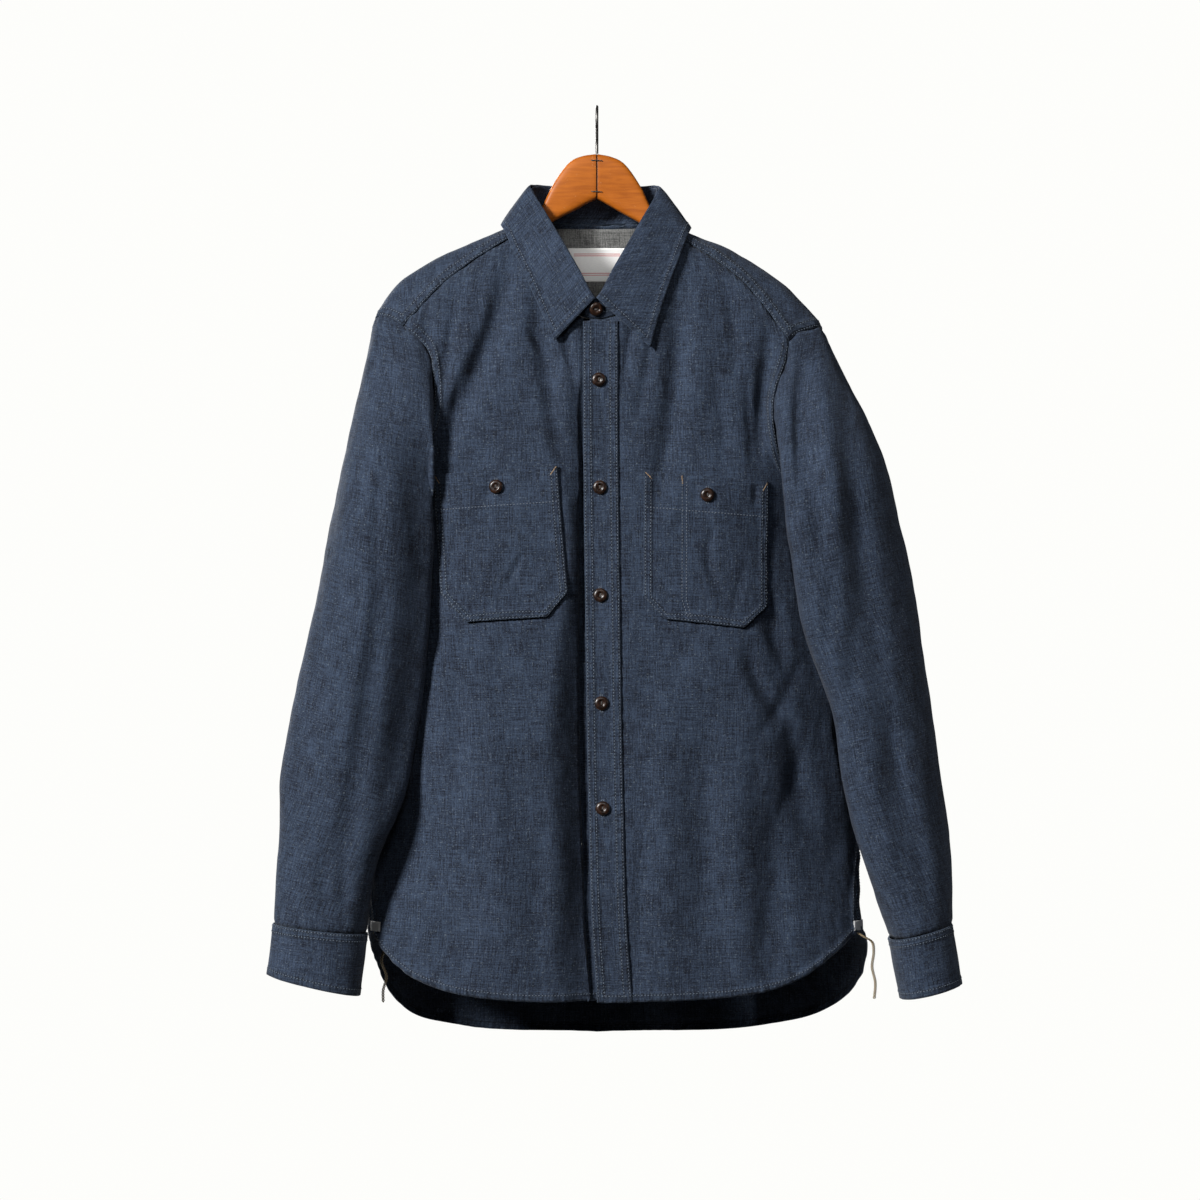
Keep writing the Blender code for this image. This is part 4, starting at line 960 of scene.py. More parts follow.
def sleevePlacketPanel(side):
    # A strip over the sleeve's opening, above the cuff.
    sign = np.array([sideSign[side], 1.0, 1.0])

    def under(s, t):
        angle = cuffOpeningAngle[side] + sleevePlacketAngle * (s - 0.5)
        share = mix(sleevePlacketTop, sleevePlacketFoot, t)
        whole = (share - sleeveHeadShare) / (1 - sleeveHeadShare)
        point = sectionPoint(sleeveSections[side], angle, whole) * sign
        return creased(side, point, angle, ease((1 - share) / sleeveFoldFoot))

    def at(s, t):
        return under(s, t) + wayOut(under, s, t, side == "right") * sleevePlacketLift

    return at


def cuffPanel(side):
    sign = np.array([sideSign[side], 1.0, 1.0])

    def at(s, t):
        angle = cuffOpeningAngle[side] + (360 + cuffOverlapAngle) * s
        under = 1 - grown(s, cuffUnder)
        spread = cuffEase - under * (cuffWall + cuffLapGap)
        return sectionPoint(cuffSections[side], angle, t, spread) * sign

    return at


hangerArm = table(
    "share topOut topDown lowOut lowDown thick",
    (0, 0, 43.5, 0, 86, 13), (0.08, 14, 45.6, 10, 91, 13), (0.16, 26, 51.5, 20, 96.5, 13),
    (0.26, 42.5, 74, 32, 102.5, 13), (0.34, 54, 96.2, 46, 110, 13), (0.41, 70, 109.8, 61, 120, 13),
    (0.5, 88, 118.0, 78, 131, 13), (0.66, 122, 132.5, 112, 152, 12.6), (0.84, 164, 153.5, 154, 177, 12),
    (0.95, 183, 166.5, 176, 186, 11), (1, 190, 174, 184, 188.5, 9),
)
armSides = 28
armRings = 46
armBevel = 0.9            # round its ends
armFlatness = 0.45        # below 1 a section's corners are fuller than an ellipse's
armSquareness = 0.55
hangerTilt = 0.052        # the hanger hangs a little down to the wearer's left


def armRing(sign, share):
    values = {name: float(follow(hangerArm, "share", name, share)) for name in hangerArm if name != "share"}
    top = np.array([values["topOut"], -values["topDown"]])
    low = np.array([values["lowOut"], -values["lowDown"]])
    ring = []
    for step in range(armSides):
        angle = 2 * math.pi * (step + 0.5) / armSides
        c = math.cos(angle)
        d = math.sin(angle)
        high = math.copysign(abs(c) ** armFlatness, c)
        deep = math.copysign(abs(d) ** armSquareness, d)
        place = (top + low) / 2 + (top - low) / 2 * high
        sag = hangerTilt * place[0] if sign > 0 else 0.0
        ring.append((sign * (place[0] + seamGap / 2), deep * values["thick"] / 2, place[1] - sag))
    return ring


hookFootDown = 43.2 - seamGap


hookStep = 5              # degrees


def hookRoute():
    # Straight up from the wood, out to the back, over the rail's place and down in front.
    radius = hookInnerRadius + hookWire / 2
    centreDown = hookInnerRadius
    points = [(0, back, -hookFootDown + up) for back, up in ((0, 0), (0, 6), (0.6, 9), (3.2, 12))]
    for degrees in range(-40, 216, hookStep):
        angle = math.radians(degrees)
        points.append((0, radius * math.cos(angle), -centreDown + radius * math.sin(angle)))
    return points


sideTab = {"right": (207.0, 774.5), "left": (245.5, 774.5)}
sideTabSize = (9.0, 9.0)
threadTail = {
    "right": table(
        "out down back", (210.2, 780.7, -19.7), (204.5, 787, -17), (201, 794, -13.5), (203.5, 808, -14),
        (199, 824, -13), (202, 836, -14), (202, 847.5, -14),
    ),
    "left": table(
        "out down back", (245.5, 780.7, -19.7), (252, 784.5, -21.5), (260, 790, -18), (262, 800, -13),
        (260.5, 814, -12), (263.5, 829, -13), (262.5, 844, -13),
    ),
}


def sideTabPanel(side):
    def at(s, t):
        x = sideSign[side] * (sideTab[side][0] + (s - 0.5) * sideTabSize[0])
        return offBody(x, sideTab[side][1] + (t - 0.5) * sideTabSize[1], -1, layerStep + seamGap)

    return at


# Small unevenness of the hanging cloth: how wide, how far, and how much longer than wide.
unevenness = (
    {"width": 60.0, "height": 1.5, "stretch": 2.6, "shift": 3.0},
    {"width": 25.0, "height": 1.25, "stretch": 2.2, "shift": 11.0},
    {"width": 11.0, "height": 0.55, "stretch": 1.6, "shift": 23.0},
)


def uneven(points, amount):
    flat = points.reshape(-1, 3)
    total = np.zeros(len(flat))
    for wave in unevenness:
        at = flat / (wave["width"], wave["width"], wave["width"] * wave["stretch"]) + wave["shift"]
        total += wave["height"] * np.array([noise.noise(place) for place in at.tolist()])
    return total.reshape(points.shape[:-1]) * amount


def gridOf(panel, columns, rows, flip, closed):
    # The panel's points row by row, and the direction out at each.
    s, t = np.meshgrid(np.linspace(0, 1, columns + 1), np.linspace(0, 1, rows + 1))
    points = panel((s % 1.0 if closed else s).ravel(), t.ravel()).reshape(rows + 1, columns + 1, 3)
    return s, t, points, outOf(points, flip, closed)


def outOf(points, flip, closed):
    if closed:
        ring = points[:, :-1]
        across = np.roll(ring, -1, 1) - np.roll(ring, 1, 1)
        across = np.concatenate([across, across[:, :1]], 1)
    else:
        across = np.gradient(points, axis=1)
    normal = np.cross(across, np.gradient(points, axis=0)) * (-1 if flip else 1)
    return normal / np.maximum(np.linalg.norm(normal, axis=-1, keepdims=True), 1e-9)


def lengthsAlong(points, axis):
    steps = np.linalg.norm(np.diff(points, axis=axis), axis=-1)
    start = np.zeros_like(np.take(steps, [0], axis=axis))
    return np.concatenate([start, np.cumsum(steps, axis=axis)], axis=axis)


def onGrain(points, grain):
    # Places on the cloth, across its warp and along it, where the warp hangs in one direction.
    grain = np.array(grain, float) / np.linalg.norm(grain)

    def flatten(steps):
        return steps - (steps @ grain)[..., None] * grain

    step = flatten(np.diff(points, axis=1))
    across = np.cumsum(np.linalg.norm(step, axis=-1), axis=1)
    across = np.concatenate([np.zeros_like(across[:, :1]), across], axis=1)
    anchor = min(int(np.abs(points[len(points) // 2, :, 0]).argmin()), step.shape[1] - 1)
    heading = step[:, anchor] / np.maximum(np.linalg.norm(step[:, anchor], axis=-1, keepdims=True), 1e-9)
    aside = (flatten(np.diff(points[:, anchor], axis=0)) * (heading[1:] + heading[:-1]) / 2).sum(-1)
    start = np.concatenate([[0], np.cumsum(aside)])[:, None]
    return np.stack([across - across[:, anchor : anchor + 1] + start, points @ grain], -1)


shoulderSlope = 1.05      # how much longer the cloth is across the shoulders than level


def overShoulders(points):
    # The yoke's weave lies level across the back, and runs down from the ridge on both sides.
    return np.stack([points[..., 0] * shoulderSlope, np.abs(points[..., 1]) - points[..., 2]], -1)


def fromEdge(edge, across, along):
    # How far each point lies from an edge of its panel, and how far along that edge.
    if edge == "start":
        return across, along
    if edge == "end":
        return across[:, -1:] - across, along
    if edge == "top":
        return along, across
    return along[-1:] - along, across


# How each kind of seam is sewn: its rows of stitches from the edge, how far the layers
# stand proud and to what distance, and how much the cloth puckers along it.
seamKinds = {
    "felled": {"rows": (1.8, 8.2), "proud": 0.8, "width": 9.5, "pucker": 1.0, "reach": 15.0},
    "hem": {"rows": (6.5,), "proud": 0.8, "width": 7.6, "pucker": 1.1, "reach": 13.0},
    "pocket": {"rows": (1.6, 6.6), "proud": 0.25, "width": 8.0, "pucker": 0.55, "reach": 10.0},
    "placket": {"rows": (1.6, 7.2), "proud": 0.2, "width": 8.4, "pucker": 0.55, "reach": 9.0},
    "collar": {"rows": (6.0,), "proud": 0.15, "width": 7.0, "pucker": 0.6, "reach": 9.0},
    "cuffTop": {"rows": (1.6, 7.0), "proud": 0.3, "width": 8.0, "pucker": 0.7, "reach": 10.0},
    "cuffEdge": {"rows": (6.0,), "proud": 0.2, "width": 7.0, "pucker": 0.5, "reach": 9.0},
    "joined": {"rows": (), "proud": 0.0, "width": 0.0, "pucker": 0.8, "reach": 15.0},
    "setIn": {"rows": (), "proud": 0.0, "width": 0.0, "pucker": 0.8, "reach": 15.0},
    "plain": {"rows": (), "proud": 0.0, "width": 1.0, "pucker": 0.0, "reach": 1.0},
}


puckerHeight = 1.5
puckerSize = (8.5, 26.0)  # along the seam and away from it
puckerReach = 1.4         # of the seam's reach
proudEdge = 0.8           # over which the layers rise from their edge
proudSlope = 1.6          # and fall again past their width
farOff = 1000.0           # stands for no row of stitches


def ripples(walked, distance, seed):
    at = np.stack([walked / puckerSize[0], distance / puckerSize[1], np.full(walked.shape, 3.7 * seed)], -1)
    values = [noise.noise(place) for place in at.reshape(-1, 3).tolist()]
    return np.array(values).reshape(walked.shape)


class Cloth:
    # A panel's fine grid, with what its sewing needs to find its places on it.
    def __init__(self, name, points, out):
        self.name = name
        self.points = points
        self.out = out
        self.across = lengthsAlong(points, 1)
        self.along = lengthsAlong(points, 0)

    def at(self, column, row):
        # Points and directions out at places given in columns and rows.
        rows, columns = self.points.shape[:2]
        column = np.clip(column, 0, columns - 1.000001)
        row = np.clip(row, 0, rows - 1.000001)
        i = column.astype(int)
        j = row.astype(int)
        a = (column - i)[..., None]
        b = (row - j)[..., None]

        def blend(values):
            upper = mix(values[j, i], values[j, i + 1], a)
            lower = mix(values[j + 1, i], values[j + 1, i + 1], a)
            return mix(upper, lower, b)

        return blend(self.points), blend(self.out)

    def line(self, edge, inset, start=0.0, stop=0.0):
        # A line this far inside an edge, from this far along it to that far from its end.
        distance, _ = fromEdge(edge, self.across, self.along)
        rows, columns = self.points.shape[:2]
        if edge in ("start", "end"):
            distance = distance if edge == "start" else distance[:, ::-1]
            found = np.array([np.interp(inset, values, np.arange(columns)) for values in distance])
            column = found if edge == "start" else columns - 1 - found
            row = np.arange(rows, dtype=float)
        else:
            distance = distance.T if edge == "top" else distance.T[:, ::-1]
            found = np.array([np.interp(inset, values, np.arange(rows)) for values in distance])
            row = found if edge == "top" else rows - 1 - found
            column = np.arange(columns, dtype=float)
        return self.trimmed(column, row, start, stop)

    def trimmed(self, column, row, start, stop):
        places, out = self.at(column, row)
        walked = np.concatenate([[0], np.cumsum(np.linalg.norm(np.diff(places, axis=0), axis=1))])
        keep = (walked >= start) & (walked <= walked[-1] - stop)
        return places[keep], out[keep]


# How far a joined edge goes on under its neighbour, and how deep it sinks there.
tuck = {
    "joined": {"further": 1.6, "sunk": 1.0},
    "setIn": {"further": 3.4, "sunk": 1.2},
}


def tuckUnder(points, out, edge, facts):
    # Carries an edge on, square to its own run, so that no gap shows at the seam.
    outer, inner = {
        "top": (np.s_[0], np.s_[1]), "bottom": (np.s_[-1], np.s_[-2]),
        "start": (np.s_[:, 0], np.s_[:, 1]), "end": (np.s_[:, -1], np.s_[:, -2]),
    }[edge]
    line = points[outer]
    run = np.gradient(line, axis=0)
    if np.allclose(line[0], line[-1]):
        run[0] = run[-1] = line[1] - line[-2]
    run /= np.maximum(np.linalg.norm(run, axis=-1, keepdims=True), 1e-9)
    way = line - points[inner]
    way -= run * (way * run).sum(-1, keepdims=True)
    way /= np.maximum(np.linalg.norm(way, axis=-1, keepdims=True), 1e-9)
    points[outer] += way * facts["further"] - out[outer] * facts["sunk"]


def addSeams(mesh, edges, row, column):
    # What the cloth's material reads: at each corner of a face, how far along and from the
    # face's nearest edge it is, how much it puckers there, where that edge's rows lie, and
    # how wide its layers are.
    count = len(row) // 4
    sewn = np.tile((0.0, farOff, 0.0), (len(row), 1))
    rowsAt = np.tile((farOff, 2 * farOff, -farOff), (len(row), 1))
    nearest = np.full(count, 1e6)
    for distance, walked, pucker, places in edges:
        off = distance[row, column]
        middle = off.reshape(count, 4).mean(1)
        closer = np.repeat(middle < nearest, 4)
        nearest = np.minimum(nearest, middle)
        sewn[closer] = np.stack([walked[row, column], off, pucker[row, column]], -1)[closer]
        rowsAt[closer] = places
    for label, values in (("sewn", sewn), ("stitchRows", rowsAt)):
        layer = mesh.attributes.new(label, "FLOAT_VECTOR", "CORNER")
        layer.data.foreach_set("vector", values.astype(np.float32).ravel())


def makeCloth(
    name, panel, columns, rows, wall, material, flip=False, closed=False, seams=None, amount=1.0,
    replaces=None, held="hung", rests=("hanger_arm_left", "hanger_arm_right"), extra=None, grain=None,
):
    seams = seams or {}
    s, t, points, out = gridOf(panel, columns, rows, flip, closed)
    across = lengthsAlong(points, 1)
    along = lengthsAlong(points, 0)
    raised = uneven(points, amount)
    edges = []
    for edge, kind in seams.items():
        facts = seamKinds[kind]
        distance, walked = fromEdge(edge, across, along)
        inside = 1 - ease((distance - facts["width"]) / proudSlope)
        raised += facts["proud"] * inside * (1 - np.exp(-distance / proudEdge))
        ripple = ripples(walked, distance, seed=len(name) + 7 * len(edge))
        near = np.clip(1 - distance / (puckerReach * facts["reach"]), 0, 1)
        raised += puckerHeight * facts["pucker"] * ripple * near
        fade = np.clip(1 - distance / facts["reach"], 0, 1)
        lines = (*facts["rows"], farOff, farOff)[:2]
        edges.append((distance, walked, fade * facts["pucker"], (*lines, facts["width"])))
    if extra is not None:
        raised = raised + extra(s, t, points)
    points = points + out * raised[..., None]
    out = outOf(points, flip, closed)
    cloth = Cloth(name, points.copy(), out)
    for edge, kind in seams.items():
        if kind in tuck:
            tuckUnder(points, out, edge, tuck[kind])

    bm = bmesh.new()
    bmesh.ops.create_grid(bm, x_segments=columns, y_segments=rows, size=0.5)
    places = np.array([(vert.co.x + 0.5, vert.co.y + 0.5) for vert in bm.verts])
    for face in bm.faces:
        face.smooth = True
    if flip:
        bmesh.ops.reverse_faces(bm, faces=bm.faces)
    mesh = bpy.data.meshes.new(name)
    bm.to_mesh(mesh)
    bm.free()
    i = np.rint(places[:, 0] * columns).astype(int)
    j = np.rint(places[:, 1] * rows).astype(int)
    mesh.vertices.foreach_set("co", (points[j, i] * metre).astype(np.float32).ravel())
    corner = np.empty(len(mesh.loops), np.int32)
    mesh.loops.foreach_get("vertex_index", corner)
    if grain is None:
        flat = np.stack([cloth.across, cloth.along], -1)
    else:
        flat = grain(points) if callable(grain) else onGrain(points, grain)
    uv = flat[j, i][corner] * metre
    mesh.uv_layers.new(name="cloth").data.foreach_set("uv", uv.astype(np.float32).ravel())
    addSeams(mesh, edges, j[corner], i[corner])
    if closed:
        bm = bmesh.new()
        bm.from_mesh(mesh)
        bmesh.ops.remove_doubles(bm, verts=bm.verts, dist=1e-6)
        bm.to_mesh(mesh)
        bm.free()
    mesh.update()
    made = addPiece(name, mesh, material)
    solid = made.modifiers.new("wall", "SOLIDIFY")
    solid.thickness = wall * metre
    solid.offset = -1
    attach(made, "root")
    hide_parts(*(replaces or [name.replace("cloth_", "")]))
    return cloth


def addPiece(name, mesh, material):
    mesh.materials.append(material)
    made = bpy.data.objects.new(name, mesh)
    bpy.context.scene.collection.objects.link(made)
    return made


def finish(bm, name, material, recalc=False):
    if recalc:
        bmesh.ops.recalc_face_normals(bm, faces=bm.faces)
    for face in bm.faces:
        face.smooth = True
    mesh = bpy.data.meshes.new(name)
    bm.to_mesh(mesh)
    bm.free()
    return addPiece(name, mesh, material)


# One stitch, as it lies in a dent of the cloth, and how far apart they are.
stitch = {"length": 1.9, "width": 0.9, "height": 0.5, "pitch": 3.0, "lift": 0.16}
stitchLook = 0.6          # how far to each side a stitch looks for its seam's direction


def stitchShape():
    bm = bmesh.new()
    bmesh.ops.create_uvsphere(bm, u_segments=6, v_segments=4, radius=0.5)
    shape = np.array([vert.co[:] for vert in bm.verts])
    return bm, shape


def sewStitches(name, lines, material, size=stitch):
    # Stitches laid along lines, each a list of points and of directions out.
    frames = []
    for places, out in lines:
        if len(places) < 2:
            continue
        walked = np.concatenate([[0], np.cumsum(np.linalg.norm(np.diff(places, axis=0), axis=1))])
        count = max(int(walked[-1] / size["pitch"] + 0.1), 1)
        middles = (np.arange(count) + 0.5) * walked[-1] / count

        def along(values, at):
            return np.stack([np.interp(at, walked, values[:, k]) for k in range(3)], -1)

        place = along(places, middles)
        up = along(out, middles)
        run = along(places, middles + stitchLook) - along(places, middles - stitchLook)
        run /= np.maximum(np.linalg.norm(run, axis=1, keepdims=True), 1e-9)
        up -= run * (up * run).sum(1, keepdims=True)
        up /= np.maximum(np.linalg.norm(up, axis=1, keepdims=True), 1e-9)
        frames.append((place + up * size["lift"], run, np.cross(up, run), up))
    place, run, side, up = (np.concatenate(parts) for parts in zip(*frames))
    bm, shape = stitchShape()
    whole = (
        place[:, None]
        + run[:, None] * shape[None, :, :1] * size["length"]
        + side[:, None] * shape[None, :, 1:2] * size["width"]
        + up[:, None] * shape[None, :, 2:] * size["height"]
    )
    template = bpy.data.meshes.new(name + "_one")
    bm.to_mesh(template)
    bm.free()
    bm = bmesh.new()
    for _ in range(len(place)):
        bm.from_mesh(template)
    for face in bm.faces:
        face.smooth = True
    mesh = bpy.data.meshes.new(name)
    bm.to_mesh(mesh)
    bm.free()
    bpy.data.meshes.remove(template)
    mesh.vertices.foreach_set("co", (whole.reshape(-1, 3) * metre).astype(np.float32).ravel())
    mesh.update()
    made = addPiece(name, mesh, material)
    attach(made, "root")
    return made


def node(tree, kind, inputs=None, **settings):
    made = tree.nodes.new("ShaderNode" + kind)
    for key, value in settings.items():
        setattr(made, key, value)
    for key, value in (inputs or {}).items():
        socket = made.inputs[key]
        if isinstance(value, bpy.types.NodeSocket):
            tree.links.new(value, socket)
        else:
            socket.default_value = value
    return made


def worked(tree, operation, first, second=0.0, clamp=False):
    made = tree.nodes.new("ShaderNodeMath")
    made.operation = operation
    made.use_clamp = clamp
    for socket, value in zip(made.inputs, (first, second)):
        if isinstance(value, bpy.types.NodeSocket):
            tree.links.new(value, socket)
        else:
            socket.default_value = value
    return made.outputs[0]


def cloudy(tree, vector, across, along, detail=2.0, rough=0.55, shift=0.0):
    # Noise whose spots are this wide and long, in the units of the vector.
    mapped = node(
        tree, "Mapping", {"Vector": vector, "Location": (shift, shift, 0), "Scale": (1 / across, 1 / along, 1)},
    )
    made = node(
        tree, "TexNoise", {"Vector": mapped.outputs[0], "Scale": 1.0, "Detail": detail, "Roughness": rough},
        noise_dimensions="2D",
    )
    return made.outputs["Fac"]


def graded(tree, value, low, high, toLow=0.0, toHigh=1.0):
    made = node(
        tree, "MapRange", {"From Min": low, "From Max": high, "To Min": toLow, "To Max": toHigh},
        interpolation_type="SMOOTHSTEP",
    )
    tree.links.new(value, made.inputs["Value"])
    return made.outputs[0]


def tinted(tree, factor, first, second):
    made = tree.nodes.new("ShaderNodeMix")
    made.data_type = "RGBA"
    for name, value in (("Factor_Float", factor), ("A_Color", first), ("B_Color", second)):
        socket = next(one for one in made.inputs if one.identifier == name)
        if isinstance(value, bpy.types.NodeSocket):
            tree.links.new(value, socket)
        else:
            socket.default_value = value if name == "Factor_Float" else (*value, 1)
    return next(one for one in made.outputs if one.identifier == "Result_Color")


def newMaterial(name, roughness, **inputs):
    made = bpy.data.materials.new(name)
    made.use_nodes = True
    shader = made.node_tree.nodes["Principled BSDF"]
    shader.inputs["Roughness"].default_value = roughness
    for key, value in inputs.items():
        shader.inputs[key.replace("_", " ")].default_value = value
    return made, made.node_tree, shader


def bumped(tree, shader, height):
    # Height is in millimetres.
    made = node(tree, "Bump", {"Strength": 1.0, "Distance": metre, "Height": height})
    tree.links.new(made.outputs[0], shader.inputs["Normal"])


# Colours of the yarns and how uneven they are, with "worn", the paler colour of rubbed places, and "sunk", a
# painted shade darker than any yarn that hollows, dark rungs and stitch dents are tinted with. Pitch is from
# yarn to yarn, in millimetres.
chambrayWeave = {
    "warp": (0.0022, 0.0042, 0.0110), "weft": (0.0325, 0.050, 0.085), "fleck": (0.100, 0.125, 0.150),
    "share": 0.46, "pitch": 0.62, "worn": (0.058, 0.084, 0.124), "sunk": (0.0015, 0.0025, 0.006),
}
yokeWeave = {
    "warp": (0.070, 0.072, 0.070), "weft": (0.40, 0.40, 0.385), "fleck": (0.5, 0.5, 0.48),
    "share": 0.42, "pitch": 0.62, "worn": (0.36, 0.36, 0.35), "sunk": (0.04, 0.04, 0.04),
}
# How much each unevenness of the yarns counts: how wide and how long its spots are, in
# millimetres, and its weight.
yarnSpots = {
    "warpStreaks": (1.1, 20.0, 1.45), "weftStreaks": (20.0, 1.1, 1.25), "grain": (1.5, 1.5, 1.35),
    "mottles": (12.0, 20.0, 0.6), "fading": (55.0, 80.0, 0.4),
}


def weaveMaterial(name, facts):
    made, tree, shader = newMaterial(name, 0.86)
    shader.inputs["Specular IOR Level"].default_value = 0.25
    shader.inputs["Sheen Weight"].default_value = 0.04
    shader.inputs["Sheen Roughness"].default_value = 0.5
    cloth = node(tree, "UVMap", uv_map="cloth")
    place = node(tree, "Mapping", {"Vector": cloth.outputs[0], "Scale": (1000, 1000, 1000)}).outputs[0]
    slubs = cloudy(tree, place, 3.4, 1.1, 2.0, 0.5, 15.0)
    uprightSlubs = cloudy(tree, place, 1.0, 4.4, 2.0, 0.5, 31.0)
    rub = cloudy(tree, place, 7.0, 9.0, 3.0, 0.65, 23.0)
    angle = 2 * math.pi / facts["pitch"]
    split = node(tree, "SeparateXYZ", {"Vector": place})
    upright = worked(tree, "SINE", worked(tree, "MULTIPLY", split.outputs[0], angle))
    level = worked(tree, "SINE", worked(tree, "MULTIPLY", split.outputs[1], angle))
    weave = worked(tree, "MULTIPLY", upright, level)

    share = worked(tree, "MULTIPLY", weave, 0.10)
    base = facts["share"] - 0.5 * sum(weight for _, _, weight in yarnSpots.values())
    share = worked(tree, "ADD", share, base)
    spots = {}
    for number, (kind, (wide, tall, weight)) in enumerate(yarnSpots.items()):
        spots[kind] = cloudy(tree, place, wide, tall, 3.0, 0.6, 7.0 * number)
        share = worked(tree, "ADD", share, worked(tree, "MULTIPLY", spots[kind], weight))
    share = worked(tree, "ADD", share, 0.0, clamp=True)
    colour = tinted(tree, share, facts["warp"], facts["weft"])
    pale = worked(tree, "MAXIMUM", graded(tree, slubs, 0.66, 0.78), graded(tree, uprightSlubs, 0.68, 0.80))
    colour = tinted(tree, worked(tree, "MULTIPLY", pale, 0.75), colour, facts["fleck"])

    sewn = node(tree, "Attribute", attribute_name="sewn")
    rows = node(tree, "Attribute", attribute_name="stitchRows")
    sewnParts = node(tree, "SeparateXYZ", {"Vector": sewn.outputs["Vector"]})
    rowParts = node(tree, "SeparateXYZ", {"Vector": rows.outputs["Vector"]})
    distance = sewnParts.outputs[1]
    fade = sewnParts.outputs[2]
    # Along the seams the gathers' raised places are tinted with the paler worn colour, and their low places are
    # darkened with "sunk", a painted shade.
    gathers = cloudy(tree, sewn.outputs["Vector"], 5.2, 22.0, 2.0, 0.55, 5.0)
    raisedPart = worked(tree, "MULTIPLY", graded(tree, gathers, 0.5, 0.74), fade)
    gatherShade = worked(tree, "MULTIPLY", graded(tree, gathers, 0.5, 0.28), fade)
    colour = tinted(tree, worked(tree, "MULTIPLY", raisedPart, 0.40), colour, facts["worn"])
    colour = tinted(tree, worked(tree, "MULTIPLY", gatherShade, 0.62), colour, facts["sunk"])
    beyond = worked(tree, "SUBTRACT", distance, rowParts.outputs[2])
    layers = graded(tree, beyond, -0.6, 0.5, 1.0, 0.0)
    rungs = cloudy(tree, sewn.outputs["Vector"], 2.1, 7.0, 2.0, 0.6, 17.0)
    dent = None
    pulled = None
    for part in (rowParts.outputs[0], rowParts.outputs[1]):
        off = worked(tree, "ABSOLUTE", worked(tree, "SUBTRACT", distance, part))
        near = graded(tree, off, 0.3, 1.2, 1.0, 0.0)
        wider = graded(tree, off, 0.5, 3.4, 1.0, 0.0)
        dent = near if dent is None else worked(tree, "MAXIMUM", dent, near)
        pulled = wider if pulled is None else worked(tree, "MAXIMUM", pulled, wider)
    # Pale rungs take the worn colour. The dark rungs and the dents along the stitch rows are darkened with
    # "sunk", a painted shade. The dents are also sunk in the bump below.
    paleRung = worked(tree, "MULTIPLY", graded(tree, rungs, 0.5, 0.68), pulled)
    rungShade = worked(tree, "MULTIPLY", graded(tree, rungs, 0.5, 0.34), pulled)
    colour = tinted(tree, worked(tree, "MULTIPLY", paleRung, 0.36), colour, facts["worn"])
    colour = tinted(tree, worked(tree, "MULTIPLY", rungShade, 0.55), colour, facts["sunk"])
    colour = tinted(tree, worked(tree, "MULTIPLY", dent, 0.5), colour, facts["sunk"])
    rim = graded(tree, distance, 0.2, 1.1, 0.28, 0.0)
    rim = worked(tree, "MULTIPLY", rim, graded(tree, fade, 0.02, 0.3))
    colour = tinted(tree, rim, colour, facts["worn"])
    tree.links.new(colour, shader.inputs["Base Color"])

    height = worked(tree, "MULTIPLY", weave, 0.035)
    yarns = ((slubs, 0.16), (spots["weftStreaks"], 0.12), (spots["warpStreaks"], 0.10), (rub, 0.6))
    for value, weight in yarns:
        height = worked(tree, "ADD", height, worked(tree, "MULTIPLY", value, weight))
    swollen = worked(tree, "MULTIPLY", worked(tree, "MULTIPLY", gathers, fade), 1.5)
    height = worked(tree, "ADD", height, swollen)
    height = worked(tree, "ADD", height, worked(tree, "MULTIPLY", layers, 0.45))
    drawn = worked(tree, "MULTIPLY", worked(tree, "MULTIPLY", rungs, pulled), 0.7)
    height = worked(tree, "ADD", height, drawn)
    height = worked(tree, "SUBTRACT", height, worked(tree, "MULTIPLY", dent, 0.4))
    bumped(tree, shader, height)
    return made


def threadMaterial(name, colour):
    made, tree, shader = newMaterial(name, 0.6)
    place = node(tree, "TexCoord").outputs["Object"]
    twist = node(tree, "TexNoise", {"Vector": place, "Scale": 900.0, "Detail": 2.0})
    dark = tuple(0.55 * part for part in colour)
    tree.links.new(tinted(tree, twist.outputs["Fac"], dark, colour), shader.inputs["Base Color"])
    bumped(tree, shader, worked(tree, "MULTIPLY", twist.outputs["Fac"], 0.12))
    return made


def buttonMaterial():
    facts = {"dark": (0.008, 0.0042, 0.003), "light": (0.030, 0.0135, 0.008)}
    made, tree, shader = newMaterial(
        "glossyBrown", 0.33, Specular_IOR_Level=0.32, Coat_Weight=0.06, Coat_Roughness=0.25,
    )
    place = node(tree, "TexCoord").outputs["Object"]
    marble = node(tree, "TexNoise", {"Vector": place, "Scale": 210.0, "Detail": 4.0, "Distortion": 1.6})
    clouded = graded(tree, marble.outputs["Fac"], 0.38, 0.66)
    tree.links.new(tinted(tree, clouded, facts["dark"], facts["light"]), shader.inputs["Base Color"])
    bumped(tree, shader, worked(tree, "MULTIPLY", marble.outputs["Fac"], 0.05))
    return made


